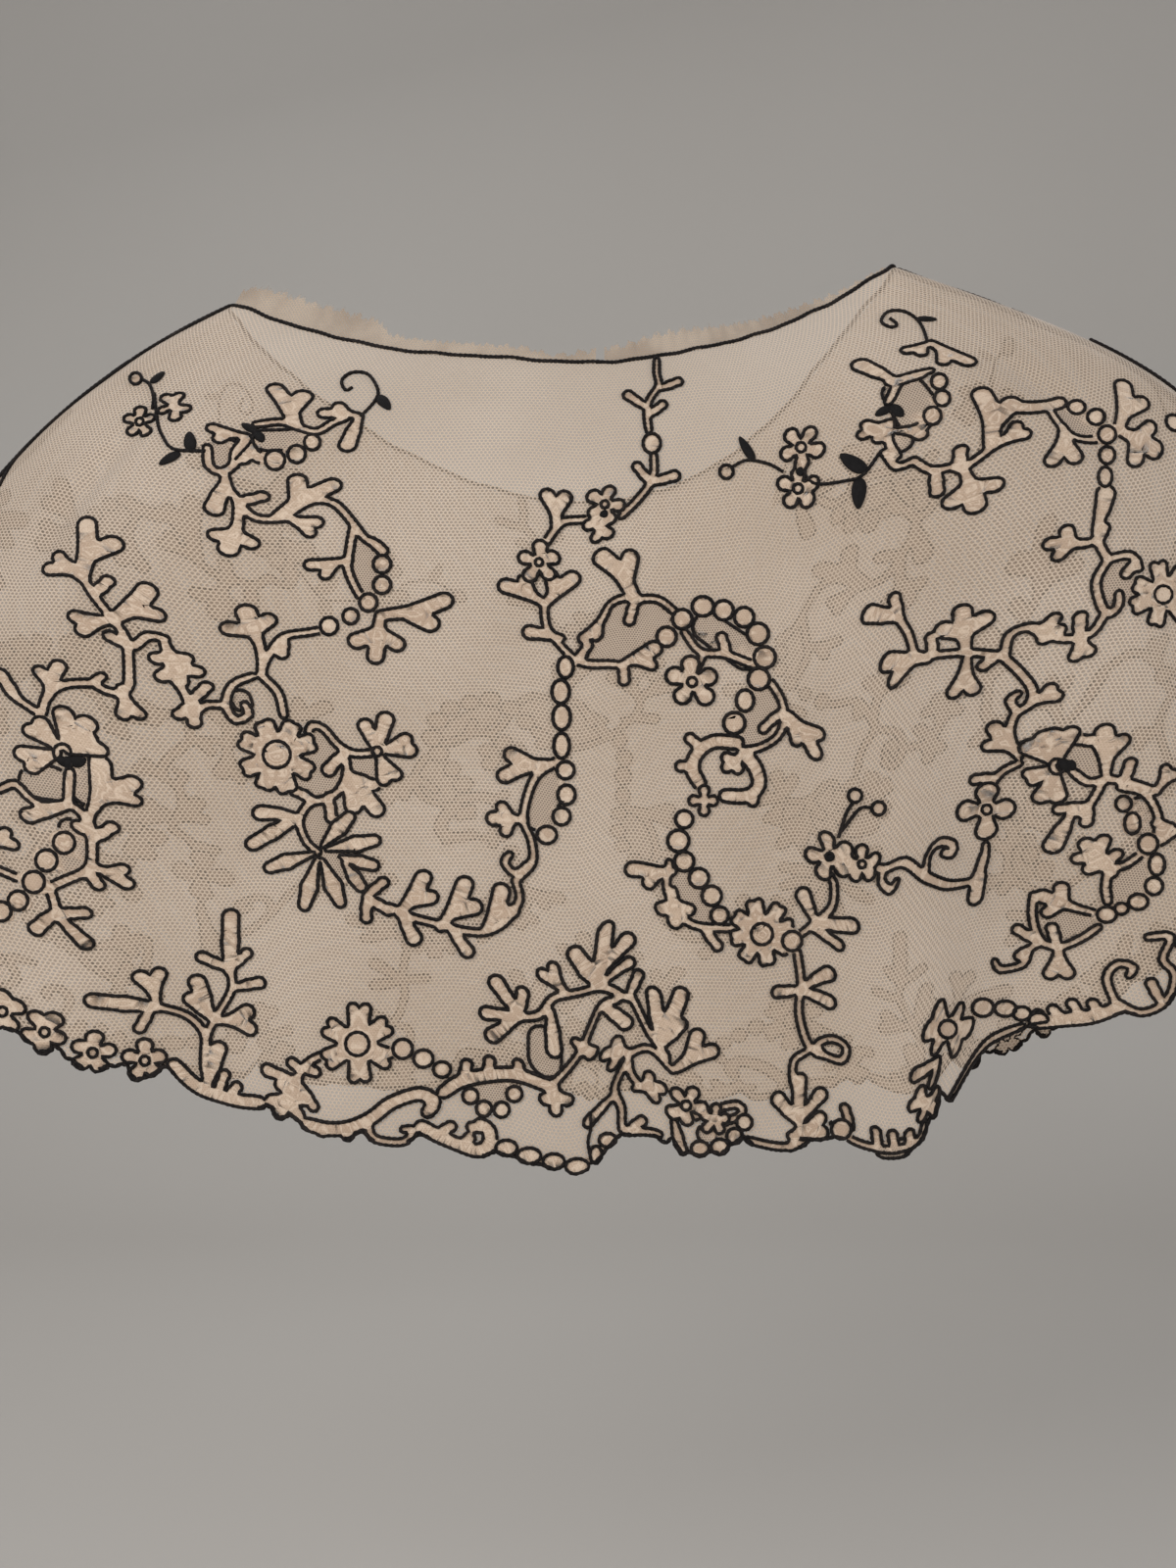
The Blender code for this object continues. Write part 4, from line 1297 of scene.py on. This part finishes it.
# Outline cords
# Every stem, leaf, petal and patch is edged with a black silk chain cord, couched down
# along the cut net's edge, so that each shape is drawn in one fuzzy dark line.
CORD_RADIUS = 0.82
CORD_STEP = 1.2
FEWEST_STEPS = 4
CORD_LIFT = 0.6
CHAIN_SWELL = 0.12
HIDDEN_WITHIN = 0.25
SHORTEST_RUN = 3
SHORTEST_LOOP = 8
SMALL_HOLE = 24
HOLE_OVERLAP = 0.4
RING_STEP = 0.8
TENDRIL_STEP = 1.0
BELOW_HEM = 0.0035
ABOVE_NECK = 0.004
PAST_LIMIT = 3.9
BLACK, WORN_BLACK = (0.004, 0.003, 0.003, 1.0), (0.012, 0.009, 0.008, 1.0)
BLACK_FUZZ = (0.040, 0.032, 0.028, 1.0)

silk = Finish("black_cord", Roughness=0.85, Specular_IOR_Level=0.2)
speck = silk.noise(900.0).fade(0.45, 0.75)
dark = silk.mix(silk.noise(60.0).fade(0.45, 0.7), BLACK, WORN_BLACK)
silk.feed("Base Color", silk.mix(speck * 0.5, dark, BLACK_FUZZ))
silk.raise_by(silk.noise(1500.0), 0.6, 0.0003)


def edge_loops(chart):
    """The lines where a chart crosses zero, each a row of places on the flat cut."""
    rows = len(chart_y)
    total = chart.size
    inside = chart < 0.0
    code = inside[:-1, :-1] + inside[1:, :-1] * 2 + inside[1:, 1:] * 4 + inside[:-1, 1:] * 8
    cell_i, cell_j = np.nonzero((code > 0) & (code < 15))
    kind = code[cell_i, cell_j]
    low = cell_i * rows + cell_j
    ends = {"low": low, "high": low + 1, "left": total + low, "right": total + low + rows}
    crossings = {
        1: [("left", "low")], 2: [("low", "right")], 3: [("left", "right")],
        4: [("right", "high")], 5: [("left", "low"), ("right", "high")], 6: [("low", "high")],
        7: [("left", "high")], 8: [("left", "high")], 9: [("low", "high")],
        10: [("low", "right"), ("left", "high")], 11: [("right", "high")],
        12: [("left", "right")], 13: [("low", "right")], 14: [("left", "low")],
    }
    joined = {}
    for value, pairs in crossings.items():
        here = kind == value
        for one, other in pairs:
            for a, b in zip(ends[one][here].tolist(), ends[other][here].tolist()):
                joined.setdefault(a, []).append(b)
                joined.setdefault(b, []).append(a)
    loops = []
    while joined:
        first = next(iter(joined))
        loop = [first]
        here = first
        while here in joined:
            nexts = joined.pop(here)
            onward = [spot for spot in nexts if spot in joined]
            if not onward:
                break
            here = onward[0]
            loop.append(here)
        loops.append(np.array(loop))
    lines = []
    for loop in loops:
        upright = loop >= total
        node = np.where(upright, loop - total, loop)
        i, j = node // rows, node % rows
        i2 = np.minimum(i + ~upright, len(chart_x) - 1)
        j2 = np.minimum(j + upright, rows - 1)
        one, other = chart[i, j], chart[i2, j2]
        share = one / np.where(one == other, 1.0, one - other)
        lines.append(np.stack(
            [
                chart_x[i] + share * ~upright * CHART_CELL,
                chart_y[j] + share * upright * CHART_CELL,
            ],
            axis=1,
        ))
    return lines


def even_steps(line, closed):
    """The same line by places a cord's step apart."""
    if closed:
        line = np.vstack([line, line[:1]])
    gone = np.concatenate([[0.0], np.cumsum(np.hypot(*np.diff(line, axis=0).T))])
    count = max(FEWEST_STEPS, int(gone[-1] / CORD_STEP))
    marks = np.linspace(0.0, gone[-1], count + 1)
    if closed:
        marks = marks[:-1]
    return np.stack([np.interp(marks, gone, line[:, k]) for k in (0, 1)], axis=1)


def seen_runs(line, hidden_by=None):
    """A closed line as it is, or split where a shape that lies over it hides it."""
    turn, down = worn_place(line[:, 0], line[:, 1])
    shown = (down > -ABOVE_NECK) & (np.abs(turn) < BACK_LIMIT + PAST_LIMIT)
    if hidden_by is not None:
        shown &= chart_read(hidden_by, line[:, 0], line[:, 1]) > HIDDEN_WITHIN
    if shown.all():
        return [(line, True)]
    start = int(np.argmin(shown))
    line, shown = np.roll(line, -start, axis=0), np.roll(shown, -start)
    cuts = np.flatnonzero(np.diff(shown.astype(int))) + 1
    parts = zip(np.split(line, cuts), np.split(shown, cuts))
    return [(part, False) for part, kept in parts if kept[0] and len(part) >= SHORTEST_RUN]


for chart in (vine, flower_shapes):
    for line in edge_loops(chart):
        if len(line) < SMALL_HOLE:
            middle = line.mean(axis=0)
            radius = np.hypot(*(line - middle).T).max() + HOLE_OVERLAP
            add_taper(chart, middle, middle, radius, radius)
over_vine = np.minimum(flower_shapes, bead_shapes)
over_patches = np.minimum(vine, over_vine)
runs = []
for chart, hidden_by in (
    (vine, over_vine),
    (flower_shapes, bead_shapes),
    (patch_shapes, over_patches),
):
    for line in edge_loops(chart):
        if len(line) > SHORTEST_LOOP:
            runs += seen_runs(even_steps(line, True), hidden_by)
for ring in rings + bead_rings:
    runs += seen_runs(even_steps(smooth_route(ring, RING_STEP, closed=True), True))

# Tendrils are a single line of the cord, with no net inside them.
TENDRILS = [
    [(158, 402), (161, 428), (166, 445), (178, 459), (210, 461)],
    [(146, 388), (153, 393), (157, 406), (156, 418)],
    [
        (368, 426), (382, 411), (386, 399), (376, 383), (360, 381), (349, 389), (353, 399),
        (360, 396),
    ],
    [(898, 462), (883, 482), (869, 490), (832, 494), (816, 478)],
    [(747, 477), (763, 470), (784, 474), (799, 482)],
    [
        (946, 350), (938, 330), (923, 319), (906, 319), (899, 329), (909, 335), (915, 332),
        (908, 326),
    ],
    [(855, 855), (863, 830), (870, 819)],
    [(857, 849), (876, 826), (890, 824)],
    [(602, 1134), (603, 1150), (600, 1166), (604, 1188)],
    [(240, 470), (256, 452), (262, 438)],
    [(41, 425), (18, 452), (0, 497)],
]
for row in TENDRILS:
    runs.append((even_steps(smooth_route(on_cut(row), TENDRIL_STEP), False), False))


def sew_cord(name, lines, radius, resolution):
    """Rows of places as one curve, swelling and thinning like a chain stitch."""
    curve = bpy.data.curves.new(name, "CURVE")
    curve.dimensions = "3D"
    curve.bevel_depth = radius * MM
    curve.bevel_resolution = resolution
    curve.use_fill_caps = True
    for places, closed in lines:
        spline = curve.splines.new("POLY")
        spline.points.add(len(places) - 1)
        spline.points.foreach_set("co", np.hstack([places, np.ones((len(places), 1))]).ravel())
        swell = 1.0 + CHAIN_SWELL * np.where(np.arange(len(places)) % 2, 1.0, -1.0)
        spline.points.foreach_set("radius", swell)
        spline.use_cyclic_u = closed
        spline.use_smooth = True
    return add_piece(name, curve, silk)


def sew_outlines(name, flat_runs, turn_shift):
    lines = []
    for line, closed in flat_runs:
        turn, down = worn_place(line[:, 0], line[:, 1])
        down = np.minimum(down, hem_at(turn) + BELOW_HEM)
        lines.append((on_net(turn + turn_shift, down, CORD_LIFT), closed))
    sew_cord(name, lines, CORD_RADIUS, 1)


for side, across_side, sign in (("left", "right", 1), ("right", "left", -1)):
    near = [run for run in runs if sign * run[0][:, 0].mean() > 0]
    sew_outlines(f"outline_back_{side}", near, 0.0)
    sew_outlines(f"outline_front_{across_side}", near, CENTRE_FRONT)

# Satin leaves
# A few solid black leaves and bud hearts in padded satin stitch, the only parts of the
# vine worked wholly in thread.
Satin = namedtuple("Satin", "from_x from_y to_x to_y width")
SATINS = [
    (155, 392, 168, 380, 9), (195, 461, 194, 441, 10), (184, 462, 163, 475, 9),
    (262, 441, 247, 433, 9), (262, 441, 268, 452, 9), (386, 404, 398, 419, 11),
    (72, 780, 57, 774, 10), (72, 780, 88, 774, 10), (70, 772, 70, 786, 8),
    (614, 522, 619, 528, 8), (935, 326, 956, 327, 9), (908, 416, 893, 425, 10),
    (908, 414, 921, 426, 10), (883, 482, 857, 464, 14), (876, 488, 876, 520, 14),
    (769, 471, 754, 446, 11), (1081, 774, 1090, 788, 9), (842, 878, 850, 872, 6),
    (1089, 776, 1096, 786, 8), (814, 478, 818, 486, 8),
]
SATIN_RISE = 1.1
SATIN_SINK = -0.3
SATIN_PINCH = 0.25
SATIN_ROUND, SATIN_RINGS = 14, 10
SATIN_DEEP, SATIN_SHEEN = (0.003, 0.003, 0.003, 1.0), (0.013, 0.011, 0.011, 1.0)

satin = Finish("black_satin_stitch", Roughness=0.7, Specular_IOR_Level=0.15)
satin.feed("Base Color", satin.mix(satin.noise(500.0), SATIN_DEEP, SATIN_SHEEN))
rib_inputs = {"Vector": satin.own_place(), "Scale": 900.0, "Distortion": 2.0}
rib = satin.node("ShaderNodeTexWave", {"bands_direction": "DIAGONAL"}, rib_inputs)
satin.raise_by(rib, 0.5, 0.0004)


def satin_leaves(name, turn_shift):
    work = bmesh.new()
    for leaf in (Satin(*row) for row in SATINS):
        foot = picture_to_flat(leaf.from_x, leaf.from_y)
        tip = picture_to_flat(leaf.to_x, leaf.to_y)
        run = tip - foot
        side = np.array([-run[1], run[0]]) / math.hypot(*run)
        made = bmesh.ops.create_uvsphere(
            work, u_segments=SATIN_ROUND, v_segments=SATIN_RINGS, radius=1.0
        )
        for vert in made["verts"]:
            rise, over, along = vert.co
            pinch = 1.0 - SATIN_PINCH * along
            aside = side * over * pinch * leaf.width * PIXEL_MM / 2
            turn, down = worn_place(*(foot + run * (along + 1.0) / 2 + aside))
            lift = CORD_LIFT + max(rise, SATIN_SINK) * SATIN_RISE
            vert.co = on_net(turn + turn_shift, min(down, 1.0), lift)
    bmesh.ops.recalc_face_normals(work, faces=work.faces[:])
    mesh = bpy.data.meshes.new(name)
    work.to_mesh(mesh)
    work.free()
    mesh.shade_smooth()
    add_piece(name, mesh, satin)


satin_leaves("satin_leaves_back", 0.0)
satin_leaves("satin_leaves_front", CENTRE_FRONT)

# Neck and hem cords
# The same black cord closes the two edges: one line round the neck, worked where the
# strip of raw net was folded, and one along the hem wherever no motif reaches it.
NECK_CORD_RADIUS = 0.95
NECK_CORD_OUT = 1.0
NECK_CORD_LIFT = 0.15
NECK_STEPS = 640
HEM_CORD_RADIUS = CORD_RADIUS * 1.15
HEM_CORD_LIFT = 0.2
HEM_SAMPLES = 1440
HEM_CLEAR = 0.35
HEM_OVERLAP = 4
Ripple = namedtuple("Ripple", "height waves turn")
RIPPLES = [Ripple(0.35, 23, 0), Ripple(0.25, 41, 50)]

neck_turns = np.arange(NECK_STEPS) * FULL_TURN / NECK_STEPS
ripple = sum(
    wave.height * np.sin(np.radians(neck_turns * wave.waves + wave.turn)) for wave in RIPPLES
)
neck_line = on_net(neck_turns, -(NECK_CORD_OUT + ripple) / CUT_DEPTH, NECK_CORD_LIFT)
neck_cord = sew_cord("neck_cord_line", [(neck_line, True)], NECK_CORD_RADIUS, 2)
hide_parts("neck_cord")

hem_turns = np.arange(HEM_SAMPLES) * FULL_TURN / HEM_SAMPLES
hem_back = about_zero(hem_turns, HALF_TURN)
hem_flat = flat_place(hem_back, hem_at(hem_turns))
bare = chart_read(whole_design, hem_flat[0], hem_flat[1]) > HEM_CLEAR
bare |= np.abs(hem_back) > BACK_LIMIT
start = int(np.argmin(bare))
order = np.roll(np.arange(HEM_SAMPLES), -start)
cuts = np.flatnonzero(np.diff(bare[order].astype(int))) + 1
hem_runs = []
for part in np.split(order, cuts):
    if bare[part[0]]:
        onward = part[0] + len(part)
        stretch = np.arange(part[0] - HEM_OVERLAP, onward + HEM_OVERLAP) % HEM_SAMPLES
        edge_turns = hem_turns[stretch]
        hem_runs.append((on_net(edge_turns, hem_at(edge_turns), HEM_CORD_LIFT), False))
hem_cord = sew_cord("hem_cord_line", hem_runs, HEM_CORD_RADIUS, 2)
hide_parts("hem_cord")

# Raw neck strips
# Beyond the neck cord a strip of the net is left raw, turned up, browned and frayed: it
# shows at the nape on both sides of the centre back.
StripRow = namedtuple("StripRow", "turn height")
STRIPS = {
    "neck_strip_left": [
        (1, 8.5), (7, 5.0), (11, 4.0), (15, 7.0), (44, 8.0), (48, 9.0), (50, 14.5), (62, 15.5),
        (74, 15.5), (82, 13.0), (86, 10.0),
    ],
    "neck_strip_right": [
        (276, 1.8), (292, 4.5), (318, 9.0), (336, 12.5), (346, 12.5), (355, 9.0), (359, 8.5),
    ],
}
STRIP_COLUMNS, STRIP_ROWS = 240, 8
STRIP_START = 0.2
STRIP_LEAN = 0.5
FRAY = 1.6
FULL_FRAY_HEIGHT = 6.0
LEAST_HEIGHT = 1.2
FRAY_WAVES = (2.9, 1.31)
STRIP_WAVE, STRIP_WAVES = 0.5, 1.7
NECK_SLOPE_SHARE = 0.02
RAW_SHADE, RAW = (0.31, 0.225, 0.155, 1.0), (0.44, 0.34, 0.25, 1.0)

raw = Finish("raw_net", Roughness=0.85, Sheen_Weight=0.2, Sheen_Roughness=0.5)
x, y = raw.cut_place()
share = raw.value("height_share")
gap = raw.hexagons(x + (raw.noise(60.0) - 0.5) * 2.0, y, NET_PITCH * 0.8)
thread = 1.0 - gap.fade(0.14, 0.36)
browned = raw.noise(40.0, 3.0).fade(0.35, 0.65)
raw.feed("Base Color", raw.mix(browned, RAW_SHADE, RAW))
torn = (share + raw.noise(900.0, 3.0) * 0.5 - 0.25).fade(0.84, 0.98)
raw.feed("Alpha", (thread * 0.55 + 0.40) * (1.0 - torn))


def strip_place(rows):
    turns_of = [row.turn for row in rows]
    heights_of = [row.height for row in rows]

    def place(i, j):
        along = i / STRIP_COLUMNS
        turn = turns_of[0] + (turns_of[-1] - turns_of[0]) * along
        height = np.interp(turn, turns_of, heights_of)
        jag = FRAY * np.sin(turn * FRAY_WAVES[0]) * np.sin(turn * FRAY_WAVES[1] + 1.0)
        height = np.maximum(height + jag * smooth_step(height / FULL_FRAY_HEIGHT), LEAST_HEIGHT)
        foot = on_net(turn, 0.0)
        onward = foot - on_net(turn, NECK_SLOPE_SHARE)
        onward = onward / np.linalg.norm(onward, axis=1, keepdims=True)
        upright = onward * (1.0 - STRIP_LEAN) + np.array([0.0, 0.0, STRIP_LEAN])
        upright = upright / np.linalg.norm(upright, axis=1, keepdims=True)
        rise = j / STRIP_ROWS
        wave = STRIP_WAVE * np.sin(turn * STRIP_WAVES) * rise
        out = grid_read(outward, turn, np.zeros_like(turn))
        climb = onward * STRIP_START + upright * (height * rise)[:, None] + out * wave[:, None]
        flat = flat_place(about_zero(turn), -height * rise / CUT_DEPTH)
        return foot + climb * MM, np.stack(flat, axis=1)

    return place


for name, rows in STRIPS.items():
    rows = [StripRow(*row) for row in rows]
    strip = lay_sheet(
        f"{name}_cloth", STRIP_COLUMNS, STRIP_ROWS, strip_place(rows), raw
    )
    levels = np.repeat(np.arange(STRIP_ROWS + 1) / STRIP_ROWS, STRIP_COLUMNS + 1)
    strip.data.attributes.new("height_share", "FLOAT", "POINT").data.foreach_set("value", levels)
    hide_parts(name)
    first, final = rows[0].turn, rows[-1].turn
    strip_turns = np.linspace(first, final, STRIP_COLUMNS)
    reach = math.radians((final - first) / FULL_TURN * CUT_ANGLE) * NECK_RADIUS * MM

# Studio
# A pale paper floor that sweeps up into a plain wall, soft lights on both sides and a weak
# one beyond the collar, so that the net glows a little.
FLOOR_LEVEL = -0.72
FLOOR_FRONT = 3.0
SWEEP_START, SWEEP_RADIUS = -1.3, 0.9
SWEEP_HALF_WIDTH = 4.0
SWEEP_SEGMENTS = 30
WALL_RISE = 3.0
FLOOR_SHARE, BEND_SHARE, WALL_SHARE = 0.3, 0.45, 0.25
PAPER_SHADE, PAPER = (0.46, 0.43, 0.395, 1.0), (0.52, 0.495, 0.46, 1.0)

sweep = bmesh.new()
bmesh.ops.create_grid(sweep, x_segments=1, y_segments=SWEEP_SEGMENTS, size=1.0)
for vert in sweep.verts:
    share = (vert.co.y + 1.0) / 2.0
    back, up = FLOOR_FRONT + (SWEEP_START - FLOOR_FRONT) * share / FLOOR_SHARE, 0.0
    if share >= FLOOR_SHARE + BEND_SHARE:
        back = SWEEP_START - SWEEP_RADIUS
        up = SWEEP_RADIUS + (share - FLOOR_SHARE - BEND_SHARE) / WALL_SHARE * WALL_RISE
    elif share >= FLOOR_SHARE:
        bend = (share - FLOOR_SHARE) / BEND_SHARE * math.pi / 2
        back = SWEEP_START - SWEEP_RADIUS * math.sin(bend)
        up = SWEEP_RADIUS * (1.0 - math.cos(bend))
    vert.co = (vert.co.x * SWEEP_HALF_WIDTH, back, FLOOR_LEVEL + up)
sweep_mesh = bpy.data.meshes.new("studio_sweep")
sweep.to_mesh(sweep_mesh)
sweep.free()
paper = Finish("studio_paper", Roughness=0.9)
paper.feed("Base Color", paper.mix(paper.noise(1.2), PAPER_SHADE, PAPER))
sweep_mesh.materials.append(paper.material)
sweep_mesh.shade_smooth()
backdrop = bpy.data.objects.new("studio_sweep", sweep_mesh)
bpy.context.collection.objects.link(backdrop)

Lamp = namedtuple("Lamp", "name x y z size power")
LAMPS = [
    Lamp("key_light", 1.3, 1.8, 0.7, 1.4, 37.0),
    Lamp("fill_light", -1.7, 1.5, 0.3, 1.6, 19.0),
    Lamp("front_light", 0.4, -1.0, 1.5, 1.2, 12.0),
]
LAMP_AIM = Vector((0.0, 0.0, -0.22))
for lamp in LAMPS:
    light = bpy.data.lights.new(lamp.name, "AREA")
    light.shape = "DISK"
    light.size = lamp.size
    light.energy = lamp.power
    holder = bpy.data.objects.new(lamp.name, light)
    holder.location = (lamp.x, lamp.y, lamp.z)
    toward = LAMP_AIM - holder.location
    holder.rotation_euler = toward.to_track_quat("-Z", "Y").to_euler()
    bpy.context.collection.objects.link(holder)

AIR_COLOUR = (0.86, 0.88, 0.92, 1.0)
AIR_STRENGTH = 0.38
world = bpy.data.worlds.new("studio_air")
world.use_nodes = True
air = world.node_tree.nodes["Background"]
air.inputs["Color"].default_value = AIR_COLOUR
air.inputs["Strength"].default_value = AIR_STRENGTH
bpy.context.scene.world = world
bpy.context.scene.view_settings.view_transform = "Standard"
